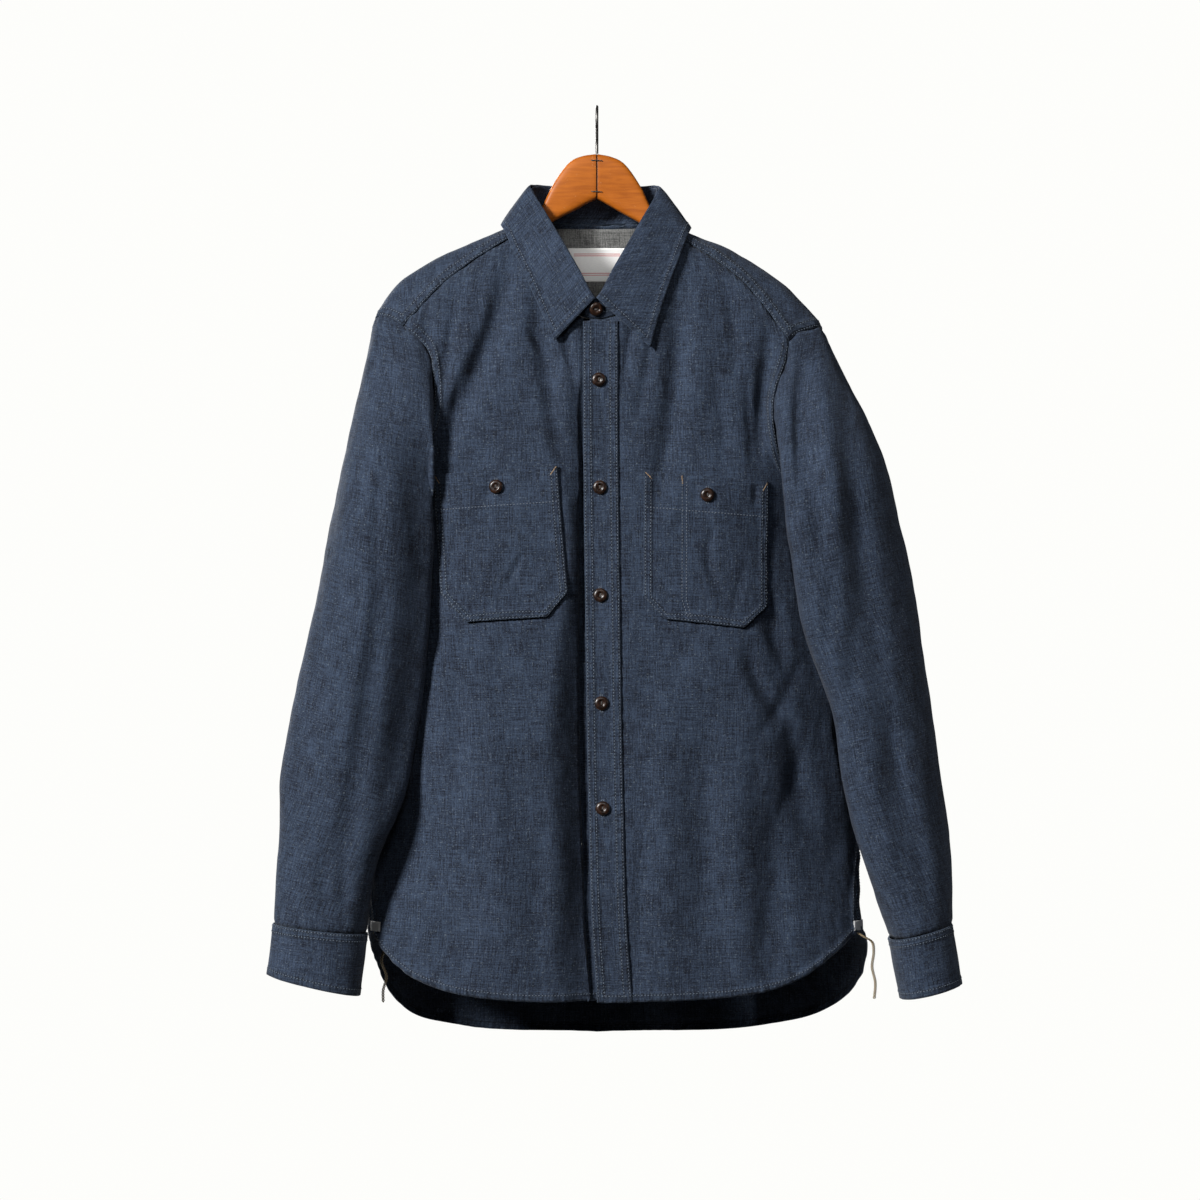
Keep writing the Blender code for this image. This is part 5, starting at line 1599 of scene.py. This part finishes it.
def woodMaterial():
    facts = {
        "dark": (0.265, 0.064, 0.0046), "light": (0.43, 0.118, 0.0093), "scuff": (0.62, 0.30, 0.11),
        "joint": (0.02, 0.008, 0.004), "lean": (0, 0.35, 0),
    }
    made, tree, shader = newMaterial("varnishedWood", 0.5, Specular_IOR_Level=0.22)
    place = node(tree, "TexCoord").outputs["Object"]
    along = node(tree, "Mapping", {"Vector": place, "Scale": (14.0, 60.0, 120.0), "Rotation": facts["lean"]})
    rings = node(
        tree, "TexNoise", {"Vector": along.outputs[0], "Scale": 2.4, "Detail": 5.0, "Distortion": 0.7},
    )
    pores = node(
        tree, "Mapping", {"Vector": place, "Scale": (160.0, 900.0, 1100.0), "Rotation": facts["lean"]},
    )
    fine = node(tree, "TexNoise", {"Vector": pores.outputs[0], "Scale": 1.0, "Detail": 2.0})
    stain = node(tree, "TexNoise", {"Vector": place, "Scale": 26.0, "Detail": 4.0, "Roughness": 0.6})
    scuffs = node(tree, "TexNoise", {"Vector": place, "Scale": 150.0, "Detail": 5.0, "Roughness": 0.75})
    tone = worked(tree, "ADD", worked(tree, "MULTIPLY", rings.outputs["Fac"], 0.9), -0.12)
    tone = worked(tree, "ADD", tone, worked(tree, "MULTIPLY", stain.outputs["Fac"], 0.5))
    tone = worked(tree, "ADD", tone, worked(tree, "MULTIPLY", fine.outputs["Fac"], 0.16), clamp=True)
    colour = tinted(tree, graded(tree, tone, 0.25, 1.0), facts["dark"], facts["light"])
    worn = graded(tree, scuffs.outputs["Fac"], 0.62, 0.72)
    colour = tinted(tree, worked(tree, "MULTIPLY", worn, 0.6), colour, facts["scuff"])
    across = node(tree, "SeparateXYZ", {"Vector": place}).outputs[0]
    joint = graded(tree, worked(tree, "ABSOLUTE", across), 0.0004, 0.0012, 0.9, 0.0)
    colour = tinted(tree, joint, colour, facts["joint"])
    tree.links.new(colour, shader.inputs["Base Color"])
    tree.links.new(graded(tree, stain.outputs["Fac"], 0.3, 0.7, 0.42, 0.56), shader.inputs["Roughness"])
    height = worked(tree, "MULTIPLY", fine.outputs["Fac"], 0.05)
    height = worked(tree, "SUBTRACT", height, worked(tree, "MULTIPLY", worn, 0.10))
    bumped(tree, shader, height)
    return made


def steelMaterial():
    made, tree, shader = newMaterial("darkWire", 0.36, Metallic=1.0)
    place = node(tree, "TexCoord").outputs["Object"]
    spots = node(tree, "TexNoise", {"Vector": place, "Scale": 320.0, "Detail": 4.0, "Roughness": 0.7})
    colour = tinted(tree, spots.outputs["Fac"], (0.09, 0.086, 0.08), (0.17, 0.165, 0.155))
    tree.links.new(colour, shader.inputs["Base Color"])
    tree.links.new(graded(tree, spots.outputs["Fac"], 0.3, 0.7, 0.40, 0.52), shader.inputs["Roughness"])
    bumped(tree, shader, worked(tree, "MULTIPLY", spots.outputs["Fac"], 0.015))
    return made


def labelMaterial():
    facts = {"ground": (0.80, 0.79, 0.77), "shade": (0.55, 0.55, 0.55), "line": (0.50, 0.045, 0.040)}
    made, tree, shader = newMaterial("whiteSatin", 0.42)
    shader.inputs["Sheen Weight"].default_value = 0.25
    cloth = node(tree, "UVMap", uv_map="cloth")
    place = node(tree, "Mapping", {"Vector": cloth.outputs[0], "Scale": (1000, 1000, 1000)}).outputs[0]
    split = node(tree, "SeparateXYZ", {"Vector": place})
    ribs = cloudy(tree, place, 3.0, 0.35, 2.0, 0.5)
    # The ribs' low places are tinted towards "shade", a painted shade.
    colour = tinted(tree, graded(tree, ribs, 0.3, 0.7, 0.25, 0.0), facts["ground"], facts["shade"])
    lines = None
    for down in (5.6, 7.4, 24.4, 26.2):
        off = worked(tree, "ABSOLUTE", worked(tree, "SUBTRACT", split.outputs[1], down))
        near = graded(tree, off, 0.25, 0.5, 1.0, 0.0)
        lines = near if lines is None else worked(tree, "MAXIMUM", lines, near)
    inside = worked(tree, "ABSOLUTE", worked(tree, "SUBTRACT", split.outputs[0], 27.8))
    lines = worked(tree, "MULTIPLY", lines, graded(tree, inside, 22.0, 22.6, 1.0, 0.0))
    colour = tinted(tree, worked(tree, "MULTIPLY", lines, 0.85), colour, facts["line"])
    tree.links.new(colour, shader.inputs["Base Color"])
    bumped(tree, shader, worked(tree, "MULTIPLY", ribs, 0.10))
    return made


def paleMaterial():
    made, tree, shader = newMaterial("paleFloor", 0.7)
    place = node(tree, "TexCoord").outputs["Object"]
    patches = node(tree, "TexNoise", {"Vector": place, "Scale": 1.5, "Detail": 2.0})
    colour = tinted(tree, patches.outputs["Fac"], (0.80, 0.795, 0.78), (0.84, 0.835, 0.82))
    tree.links.new(colour, shader.inputs["Base Color"])
    return made


chambray = weaveMaterial("chambray", chambrayWeave)
yokeLining = weaveMaterial("yokeLining", yokeWeave)
labelCloth = labelMaterial()
tonalThread = threadMaterial("tonalThread", (0.105, 0.135, 0.180))
paleThread = threadMaterial("paleThread", (0.125, 0.150, 0.19))
tanThread = threadMaterial("tanThread", (0.43, 0.29, 0.165))
oliveThread = threadMaterial("oliveThread", (0.25, 0.185, 0.10))
paleTape = threadMaterial("paleTape", (0.54, 0.54, 0.54))
darkThread = threadMaterial("darkThread", (0.085, 0.075, 0.07))
glossyBrown = buttonMaterial()
varnishedWood = woodMaterial()
darkWire = steelMaterial()
print("materials made")


seamEnds = 3.0            # a row of stitches starts this far from its seam's end


def sewEdges(cloth, seams):
    lines = []
    for edge, kind in seams.items():
        for inset in seamKinds[kind]["rows"]:
            lines.append(cloth.line(edge, inset, seamEnds, seamEnds))
    if lines:
        sewStitches("stitching_" + cloth.name, lines, tonalThread)


# Columns and rows of each panel's fine grid.
fine = {
    "front": (124, 236), "back": (160, 204), "yoke": (190, 38), "sleeve": (120, 200), "cuff": (104, 26),
    "collar_leaf": (180, 30), "collar_stand": (180, 16), "front_placket": (16, 250), "pocket": (64, 72),
    "inner_yoke": (64, 34), "neck_label": (40, 26), "sleeve_placket": (8, 50), "side_tab": (8, 8),
}

cloths = {}


# Where the right front dives beside the placket: how far from the placket's edge it
# starts to fall, and how deep it passes under that edge.
placketDive = table(
    "down width depth",
    (255, 18, 0), (306, 25, 10), (353, 21, 13), (401, 17, 12), (448, 18, 13), (480, 24, 16),
    (505, 29, 19), (553, 35, 24), (600, 40, 26), (657, 40, 26), (714, 38, 25), (771, 44, 24),
    (819, 50, 20), (842, 50, 18),
)
diveTurn = 0.84 * math.pi  # how much of a wave its slope is


def diveUnderPlacket(s, t, points):
    down = -points[..., 2]
    away = follow(placketLine, "down", "across", down) - placketWidth / 2 - points[..., 0]
    gone = np.clip(1 - away / follow(placketDive, "down", "width", down), 0, 1)
    share = (1 - np.cos(diveTurn * gone)) / (1 - math.cos(diveTurn))
    return -follow(placketDive, "down", "depth", down) * share


# Creases that are too fine for the solids, and how much deeper the cloth's own folds are.
deeper = {"front": 0.2, "back": 0.4, "right": 0.0, "left": 0.1}
# The shares of a panel over which its creases fade towards each edge.
creaseFade = {"top": 0.07, "start": 0.05, "end": 0.07}
sleeveCreaseFade = {"top": 0.12, "bottom": 0.06}
pocketCreases = table(
    "top bottom startX middleX endX width sink",
    (346, 377, -101, -101, -100, 2.8, 1.6),
    (420, 455, -68, -76, -84, 3.6, 2.0),
    (448, 476, -78, -71, -65, 3.4, 1.8),
    (392, 446, -131, -134, -130, 5, 1.6),
    (390, 472, 111, 105, 120, 4.4, 2.6),
    (352, 384, 149, 149, 148, 3.2, 2.2),
    (352, 380, 92, 93, 92, 2.8, 1.3),
    (430, 478, 137, 133, 128, 5, 1.7),
)
frontCreases = table(
    "top bottom startX middleX endX width sink",
    (203, 262, -66, -48, -24, 4.5, 3.4),
    (214, 250, -30, -24, -19, 3, 1.8),
    (204, 300, 52, 47, 36, 5, 2.4),
    (212, 262, 24, 21, 18, 2.6, 1.6),
    (250, 340, -128, -134, -140, 5, 1.8),
    (262, 344, 112, 118, 120, 6, 2.0),
    (480, 560, -150, -143, -120, 6, 2.6),
    (520, 600, 192, 176, 150, 7, 2.6),
    (600, 690, 196, 182, 172, 9, 2.4),
    (640, 760, -170, -160, -152, 9, 2.2),
    (690, 830, 42, 40, 34, 8, 1.5),
)


def deepened(rows, amount, others=None):
    def at(s, t, points):
        x = points[..., 0]
        down = -points[..., 2]
        sunk = amount * foldSink(rows, x, down) if amount else 0.0
        if others is not None:
            sunk = sunk + foldSink(others, x, down)
        fade = creaseFade
        return -sunk * ease(t / fade["top"]) * ease((1 - s) / fade["end"]) * ease(s / fade["start"])

    return at


def deepenedSleeve(side):
    def at(s, t, points):
        turn = np.interp(s * sleeveColumns, *sleeveTurns)
        facing = np.sin(np.radians(np.minimum(follow(sleeveHead, "turn", "angle", turn), 360)))
        place = points[..., 0], -points[..., 2]
        sunk = deeper[side] * foldSink(sleeveFolds[side], *place) + foldSink(sleeveCreases[side], *place)
        fade = ease(t / sleeveCreaseFade["top"]) * ease((1 - t) / sleeveCreaseFade["bottom"])
        return -sunk * np.maximum(facing, 0) ** foldFacing * fade

    return at


# How a sleeve lies beside the body: how far its edge there moves back, how much flatter
# its front is, over what reach, how thick it stays behind, and where down the sleeve that
# begins and ends, each with the share over which it grows or fades.
besideBody = {
    "back": 15.0, "flatter": 0.6, "reach": 60.0, "behind": 24.0, "begins": (0.04, 0.18),
    "ends": (0.90, 0.22),
}


def flatter(panel, side):
    facts = besideBody

    def at(s, t):
        point = panel(s, t)
        share = np.clip((t - sleeveHeadShare) / (1 - sleeveHeadShare), 0, 1)
        inner = sectionPoint(sleeveSections[side], np.full(s.shape, 180.0), share)
        away = np.abs(point[..., 0] - sideSign[side] * inner[..., 0])
        foot, fades = facts["ends"]
        near = ease(1 - away / facts["reach"]) * grown(t, facts["begins"]) * ease((foot - t) / fades)
        ahead = inner[..., 1] - point[..., 1]
        moved = facts["back"] * np.clip(1 + np.minimum(ahead, 0) / facts["behind"], 0, 1)
        point[..., 1] += near * (moved + facts["flatter"] * np.maximum(ahead, 0))
        return point

    return at


sleeveCreases = {
    "right": table(
        "top bottom startX middleX endX width sink",
        (468, 740, -205, -220, -244, 7.5, 3.6),
        (700, 772, -231, -236, -236, 5, 2.6),
        (380, 470, -186, -190, -188, 7, 2.0),
    ),
    "left": table(
        "top bottom startX middleX endX width sink",
        (232, 398, 186, 187, 182, 8, 6.5),
        (352, 456, 213, 208, 204, 7, 3.4),
        (470, 560, 214, 226, 240, 8, 2.6),
        (560, 700, 262, 268, 284, 8, 2.4),
        (640, 772, 286, 300, 312, 7, 2.2),
    ),
}


def dress(name, panel, size, wall, material, seams=None, **facts):
    cloths[name] = makeCloth(
        name + "_cloth", panel, *fine[size], wall, material, seams=seams, replaces=[name], **facts
    )
    cloths[name].name = name
    if seams:
        sewEdges(cloths[name], seams)


hanging = (0, 0, -1)
dress("back", backPanel(), "back", clothWall, chambray,
      {"start": "felled", "end": "felled", "bottom": "hem", "top": "joined"},
      extra=deepened(backFolds, deeper["back"]), grain=hanging)
dress("yoke", yokePanel(), "yoke", clothWall, chambray,
      {"start": "felled", "end": "felled", "bottom": "felled", "top": "joined"}, grain=overShoulders)
dress("inner_yoke", innerYokePanel(), "inner_yoke", clothWall, yokeLining, amount=0.6)
dress("neck_label", labelPanel(), "neck_label", labelWall, labelCloth, amount=0.6)
dress("front_placket", placketPanel(), "front_placket", clothWall, chambray,
      {"start": "placket", "end": "placket", "bottom": "hem"}, flip=True)
dress("collar_stand", standPanel(), "collar_stand", collarWall, chambray,
      {"start": "collar", "end": "collar", "top": "collar"}, flip=True, amount=0.35)
dress("collar_leaf", leafPanel(), "collar_leaf", collarWall, chambray,
      {"start": "collar", "end": "collar", "bottom": "collar"}, amount=0.5)
sleeveGrain = {"right": (-0.23, 0, -0.97), "left": (0.24, 0, -0.97)}
frontDepth = deepened(frontFolds, deeper["front"], frontCreases)
for side in ("right", "left"):
    left = side == "left"
    sleeve = sleevePanel(side) if left else flatter(sleevePanel(side), side)
    dress("front_" + side, frontPanel(side), "front", clothWall, chambray,
          {"end": "felled", "bottom": "hem", "top": "joined"}, flip=left,
          extra=frontDepth if left else lambda *at: frontDepth(*at) + diveUnderPlacket(*at), grain=hanging)
    dress("pocket_" + side, pocketPanel(side), "pocket", clothWall, chambray,
          {"start": "pocket", "end": "pocket", "bottom": "pocket", "top": "plain"}, flip=left,
          extra=deepened(frontFolds, deeper["front"], pocketCreases), grain=hanging)
    dress("sleeve_" + side, sleeve, "sleeve", clothWall, chambray,
          {"top": "setIn", "bottom": "joined"}, flip=not left, closed=True, extra=deepenedSleeve(side),
          grain=sleeveGrain[side])
    dress("sleeve_placket_" + side, sleevePlacketPanel(side), "sleeve_placket", sleevePlacketWall, chambray,
          {"start": "pocket", "end": "pocket"}, flip=not left)
    dress("cuff_" + side, cuffPanel(side), "cuff", cuffWall, chambray,
          {"top": "cuffTop", "bottom": "cuffEdge", "start": "collar", "end": "collar"}, flip=not left,
          amount=0.5)
    dress("side_tab_" + side, sideTabPanel(side), "side_tab", clothWall, paleTape, flip=left)
print("cloth made")


buttonShape = {
    "segments": 56, "eyeWidth": 2.0, "eyeLength": 4.3, "eyeDepth": 0.35, "eyeSlope": 1.6, "holeAt": 1.75,
    "holeRadius": 0.8, "holeDepth": 1.3, "holeSlope": 0.3, "faceHeight": 2.3, "faceRadius": 3.2,
}
# The thread through the two holes: where its strands lie, and how long and high they are.
buttonThread = {"aside": 0.35, "reach": 2.2, "rise": 2.0}
buttonStitch = {"length": 4.3, "width": 0.6, "height": 0.7, "pitch": 4.4, "lift": 0.0}
buttonClear = 0.35        # off the cloth
# Radius and height, from the middle of the back round the rim to the middle of the front.
buttonRings = (
    (0, 0), (4.9, 0), (6.1, 0.4), (6.62, 1.1), (6.4, 1.75), (5.8, 2.25), (5.1, 2.62), (4.4, 2.86),
    (3.9, 2.93), (3.5, 2.9), (3.15, 2.8), (2.8, 2.66), (2.45, 2.54), (2.1, 2.46), (1.8, 2.42),
    (1.5, 2.4), (1.2, 2.38), (0.9, 2.37), (0.6, 2.36), (0.3, 2.36), (0, 2.36),
)


def turnTo(axis, turn):
    # Axes of a button that faces along an axis, its holes turned from upright by this much.
    axis = axis / np.linalg.norm(axis)
    up = np.array([math.sin(turn), 0.0, math.cos(turn)])
    up = up - axis * (up @ axis)
    up /= np.linalg.norm(up)
    return Matrix(np.stack([np.cross(up, axis), up, axis], 1).tolist()).to_4x4()


def addButton(name, place, axis, turn):
    facts = buttonShape
    bm = bmesh.new()
    verts = [bm.verts.new((radius, 0, height)) for radius, height in buttonRings]
    edges = [bm.edges.new(ends) for ends in zip(verts, verts[1:])]
    bmesh.ops.spin(
        bm, geom=verts + edges, axis=(0, 0, 1), cent=(0, 0, 0), steps=facts["segments"],
        angle=2 * math.pi, use_merge=True, use_duplicate=False,
    )
    bmesh.ops.remove_doubles(bm, verts=bm.verts, dist=1e-4)
    for vert in bm.verts:
        if vert.co.z > facts["faceHeight"] and vert.co.xy.length < facts["faceRadius"]:
            eye = 1 - (vert.co.x / facts["eyeWidth"]) ** 2 - (vert.co.y / facts["eyeLength"]) ** 2
            vert.co.z -= facts["eyeDepth"] * float(ease(eye * facts["eyeSlope"]))
            hole = math.hypot(vert.co.x, abs(vert.co.y) - facts["holeAt"])
            vert.co.z -= facts["holeDepth"] * float(ease((facts["holeRadius"] - hole) / facts["holeSlope"]))
    spot = Matrix.Translation(Vector(place) * metre) @ turnTo(axis, turn) @ Matrix.Scale(metre, 4)
    bmesh.ops.transform(bm, matrix=spot, verts=bm.verts)
    made = finish(bm, name + "_turned", glossyBrown, recalc=True)
    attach(made, "root")
    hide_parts(name)
    across = turnTo(axis, turn).to_3x3()
    right, up, out = (np.array(across.col[k][:]) for k in range(3))
    lines = []
    for aside in (-buttonThread["aside"], buttonThread["aside"]):
        middle = np.array(place) + out * buttonThread["rise"] + right * aside
        reach = up * buttonThread["reach"]
        lines.append((np.stack([middle - reach, middle + reach]), np.stack([out, out])))
    sewStitches(name + "_thread", lines, darkThread, buttonStitch)


def onCloth(name, place):
    # The cloth's own surface nearest to a place, and its direction out there.
    cloth = cloths[name]
    off = np.linalg.norm(cloth.points - place, axis=-1)
    j, i = np.unravel_index(off.argmin(), off.shape)
    near = cloth.out[max(j - 2, 0) : j + 3, max(i - 2, 0) : i + 3].reshape(-1, 3).mean(0)
    return cloth.points[j, i], near / np.linalg.norm(near)


def seatButton(name, clothName, place, turn):
    surface, out = onCloth(clothName, place)
    high = (surface - place) @ out
    addButton(name, place + out * (high + buttonClear), out, turn)


def panelPoint(panel, s, t):
    return panel(np.array([s]), np.array([t]))[0]


def frontPoint(x, down, lift):
    return offBody(np.array([x]), np.array([down]), -1, lift)[0]


buttonTurns = {
    "placket_button_1": 0.10, "placket_button_2": -0.06, "placket_button_3": 0.16,
    "placket_button_4": -0.12, "placket_button_5": 0.05,
}
for name, (x, down) in buttonPlaces.items():
    seatButton(name, "front_placket", frontPoint(x, down, layerStep), buttonTurns[name])
for side, (x, down) in pocketButtonPlaces.items():
    turn = 0.1 * sideSign[side]
    seatButton("pocket_button_" + side, "pocket_" + side, frontPoint(x, down, pocketLift), turn)
    seatButton("cuff_button_" + side, "cuff_" + side, panelPoint(cuffPanel(side), *cuffButtonAt), 1.5)
seatButton("collar_button", "collar_stand", panelPoint(standPanel(), *collarButtonAt), 1.5)
print("buttons made")


# Buttonholes: a bar of close stitches on each side of a slit.
buttonhole = {"length": 16.5, "aside": 0.95}
closeStitch = {"width": 0.55, "height": 0.5, "pitch": 0.62, "lift": 0.1}
oneStitch = 0.98          # of a line's length, so that each short line gets one stitch


def barOf(clothName, start, end, across):
    # Close stitches that lie across a line on the cloth.
    count = max(int(np.linalg.norm(end - start) / closeStitch["pitch"]), 2)
    lines = []
    for share in (np.arange(count) + 0.5) / count:
        place, out = onCloth(clothName, mix(start, end, share))
        place = mix(start, end, share) + out * ((place - mix(start, end, share)) @ out)
        side = np.cross(out, (end - start) / np.linalg.norm(end - start)) * across / 2
        lines.append((np.stack([place - side, place + side]), np.stack([out, out])))
    return lines


def sewBars(name, bars, material, across=1.7):
    size = dict(closeStitch, length=across, pitch=across * oneStitch)
    lines = []
    for clothName, start, end in bars:
        lines += barOf(clothName, np.array(start, float), np.array(end, float), across)
    sewStitches(name, lines, material, size)


def holeBars(clothName, x, down, lift):
    # The bars of one buttonhole, from its top to its foot.
    bars = []
    for aside in (-buttonhole["aside"], buttonhole["aside"]):
        ends = [frontPoint(x + aside, down + share * buttonhole["length"], lift) for share in (-0.5, 0.5)]
        bars.append((clothName, *ends))
    return bars


holes = []
for x, down in buttonPlaces.values():
    holes += holeBars("front_placket", x, down, layerStep)
sewBars("placket_buttonholes", holes, tonalThread)
holes = []
for side, (x, down) in pocketButtonPlaces.items():
    holes += holeBars("pocket_" + side, x, down, pocketLift)
sewBars("pocket_buttonholes", holes, tonalThread)

# Tan bar tacks at the pockets' top corners: side, then out and down of both ends.
barTacks = (
    ("right", (38.4, 342.6), (43.6, 350.0)), ("right", (150.8, 350.6), (146.6, 357.6)),
    ("left", (45.0, 348.0), (50.4, 353.6)), ("left", (159.4, 357.0), (154.8, 364.6)),
    ("left", (79.6, 351.0), (80.2, 358.6)),
)
tacks = []
for side, *ends in barTacks:
    places = [frontPoint(sideSign[side] * out, down, pocketLift) for out, down in ends]
    tacks.append(("pocket_" + side, *places))
sewBars("pocket_bar_tacks", tacks, tanThread, across=1.3)

# The line that holds each pocket's turned top, and the two beside the pencil slot.
pocketLines = {"hem": 33.5, "slots": (0.31, 0.31 + 0.035)}
for side in ("right", "left"):
    cloth = cloths["pocket_" + side]
    lines = [cloth.line("top", pocketLines["hem"], 1.0, 1.0)]
    if side == "left":
        rows, columns = cloth.points.shape[:2]
        for share in pocketLines["slots"]:
            column = np.full(rows, share * (columns - 1))
            lines.append(cloth.trimmed(column, np.arange(rows, dtype=float), 4.0, 2.0))
    sewStitches("stitching_lines_pocket_" + side, lines, paleThread)
print("sewing made")


def addArm(side):
    bm = bmesh.new()
    rings = []
    for share in np.linspace(0, 1, armRings):
        rings.append([bm.verts.new(np.array(point) * metre) for point in armRing(sideSign[side], share)])
    for ring in rings:
        for first, second in zip(ring, ring[1:] + ring[:1]):
            bm.edges.new((first, second))
    for near, far in zip(rings, rings[1:]):
        both = set(near), set(far)
        edges = {
            edge for vert in near + far for edge in vert.link_edges
            if any(set(edge.verts) <= part for part in both)
        }
        bmesh.ops.bridge_loops(bm, edges=list(edges))
    for vert in rings[0]:
        vert.co.x = 0  # the halves meet here
    ends = [bm.faces.new(rings[0]), bm.faces.new(rings[-1])]
    bmesh.ops.recalc_face_normals(bm, faces=bm.faces)
    for end in ends:
        rim = list(end.edges)
        bmesh.ops.bevel(bm, geom=rim, offset=armBevel * metre, offset_type="OFFSET", affect="EDGES",
                        segments=3, profile=0.5, material=-1)
    made = finish(bm, "hanger_arm_" + side + "_wood", varnishedWood)
    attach(made, "root")
    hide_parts("hanger_arm_" + side)


def addWire(name, points, thickness, material):
    curve = bpy.data.curves.new(name, "CURVE")
    curve.dimensions = "3D"
    curve.bevel_depth = thickness / 2 * metre
    curve.bevel_resolution = 4
    curve.use_fill_caps = True
    spline = curve.splines.new("POLY")
    spline.points.add(len(points) - 1)
    for place, point in zip(spline.points, points):
        place.co = (*(metre * value for value in point), 1)
    spline.use_smooth = True
    made = addPiece(name, curve, material)
    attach(made, "root")
    return made


for side in ("right", "left"):
    addArm(side)
hook = addWire("hanger_hook_wire", hookRoute(), hookWire, darkWire)
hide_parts("hanger_hook")

# Wire staples across the joint of the two wooden halves. Their route is given across, out
# from the wood's face and down.
staples = {
    "downs": (50.0, 79.5), "wire": 0.9,
    "route": (
        (-5.0, -1.5, 0), (-5.0, 0.1, 0), (-4.2, 0.25, 0.1), (0, 0.25, 0.3), (4.2, 0.25, 0.6),
        (5.0, 0.1, 0.7), (5.0, -1.5, 0.7),
    ),
}
for number, down in enumerate(staples["downs"]):
    face = -hangerArm["thick"][0] / 2
    points = [(across, face - out, -down - lower) for across, out, lower in staples["route"]]
    addWire(f"hanger_staple_{number + 1}", points, staples["wire"], darkWire)
print("hanger made")

tailTwist = {"strand": 1.15, "swing": 0.95, "pitch": 5.2, "step": 0.45}


def addTail(side):
    rows = threadTail[side]
    route = np.stack([sideSign[side] * rows["out"], rows["back"], -rows["down"]], -1)
    walked = np.concatenate([[0], np.cumsum(np.linalg.norm(np.diff(route, axis=0), axis=1))])
    at = np.arange(0, walked[-1], tailTwist["step"])
    line = np.stack([follow({"w": walked, "v": route[:, k]}, "w", "v", at) for k in range(3)], -1)
    for strand in range(2):
        angle = at / tailTwist["pitch"] * 2 * math.pi + strand * math.pi
        swing = tailTwist["swing"] * np.stack([np.cos(angle), np.sin(angle), 0 * angle], -1)
        name = f"thread_tail_{side}_strand_{strand + 1}"
        made = addWire(name, line + swing, tailTwist["strand"], oliveThread)
        if strand == 0:
            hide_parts("thread_tail_" + side)


for side in ("right", "left"):
    addTail(side)

stageFacts = {"floorDown": 1900.0, "floorHalf": 1550.0, "floorBack": 1350.0}


def addStage():
    bm = bmesh.new()
    bmesh.ops.create_grid(bm, x_segments=8, y_segments=8, size=stageFacts["floorHalf"] * metre)
    place = Vector((0, stageFacts["floorBack"], -stageFacts["floorDown"])) * metre
    bmesh.ops.translate(bm, verts=bm.verts, vec=place)
    finish(bm, "floor", paleMaterial())


def placeLight(data, place, aim):
    made = bpy.data.objects.new(data.name, data)
    made.location = place
    made.rotation_euler = (Vector(aim) - Vector(place)).to_track_quat("-Z", "Y").to_euler()
    bpy.context.scene.collection.objects.link(made)


def addLight(name, place, aim, size, power):
    data = bpy.data.lights.new(name, "AREA")
    data.shape = "RECTANGLE"
    data.size, data.size_y = size
    data.energy = power
    placeLight(data, place, aim)


def addSpot(name, place, aim, cone, power, soft):
    data = bpy.data.lights.new(name, "SPOT")
    data.energy = power
    data.spot_size = math.radians(cone)
    data.spot_blend = 1.0
    data.shadow_soft_size = soft
    placeLight(data, place, aim)


# Places and sizes in metres, the cone in degrees.
lights = {
    "key": {"place": (-3.86, -3.90, 2.05), "aim": (0, 0, -0.50), "size": (1.2, 1.2), "power": 675.0},
    "front": {"place": (0.25, -3.4, 1.65), "aim": (0, 0, -0.45), "size": (0.9, 0.8), "power": 24.0},
    "side": {"place": (3.7, -0.35, 0.35), "aim": (0.2, 0, -0.5), "size": (1.6, 1.6), "power": 26.0},
    "behind": {"place": (-1.6, 3.3, 0.8), "aim": (0, 0, -0.5), "size": (2.0, 2.0), "power": 155.0},
}
neckLight = {
    "place": (0.0, -3.3, -0.47), "aim": (0, 0, -0.130), "cone": 1.5, "power": 150.0, "soft": 0.02,
}
# What the camera sees behind the shirt, and the weak light that comes from all round.
background = {
    "seen": {"Color": (0.985, 0.985, 0.965, 1), "Strength": 1.0},
    "light": {"Color": (1.0, 0.99, 0.97, 1), "Strength": 0.022},
}


def addWorld():
    world = bpy.data.worlds.new("studio")
    bpy.context.scene.world = world
    world.use_nodes = True
    tree = world.node_tree
    tree.nodes.clear()
    seen = node(tree, "Background", background["seen"])
    light = node(tree, "Background", background["light"])
    path = node(tree, "LightPath")
    both = tree.nodes.new("ShaderNodeMixShader")
    tree.links.new(path.outputs["Is Camera Ray"], both.inputs[0])
    tree.links.new(light.outputs[0], both.inputs[1])
    tree.links.new(seen.outputs[0], both.inputs[2])
    output = node(tree, "OutputWorld")
    tree.links.new(both.outputs[0], output.inputs[0])


addStage()
for name, facts in lights.items():
    addLight(name, **facts)
addSpot("neck", **neckLight)
addWorld()
bpy.context.scene.view_settings.view_transform = "Standard"
bpy.context.scene.view_settings.look = "None"
print("stage made")
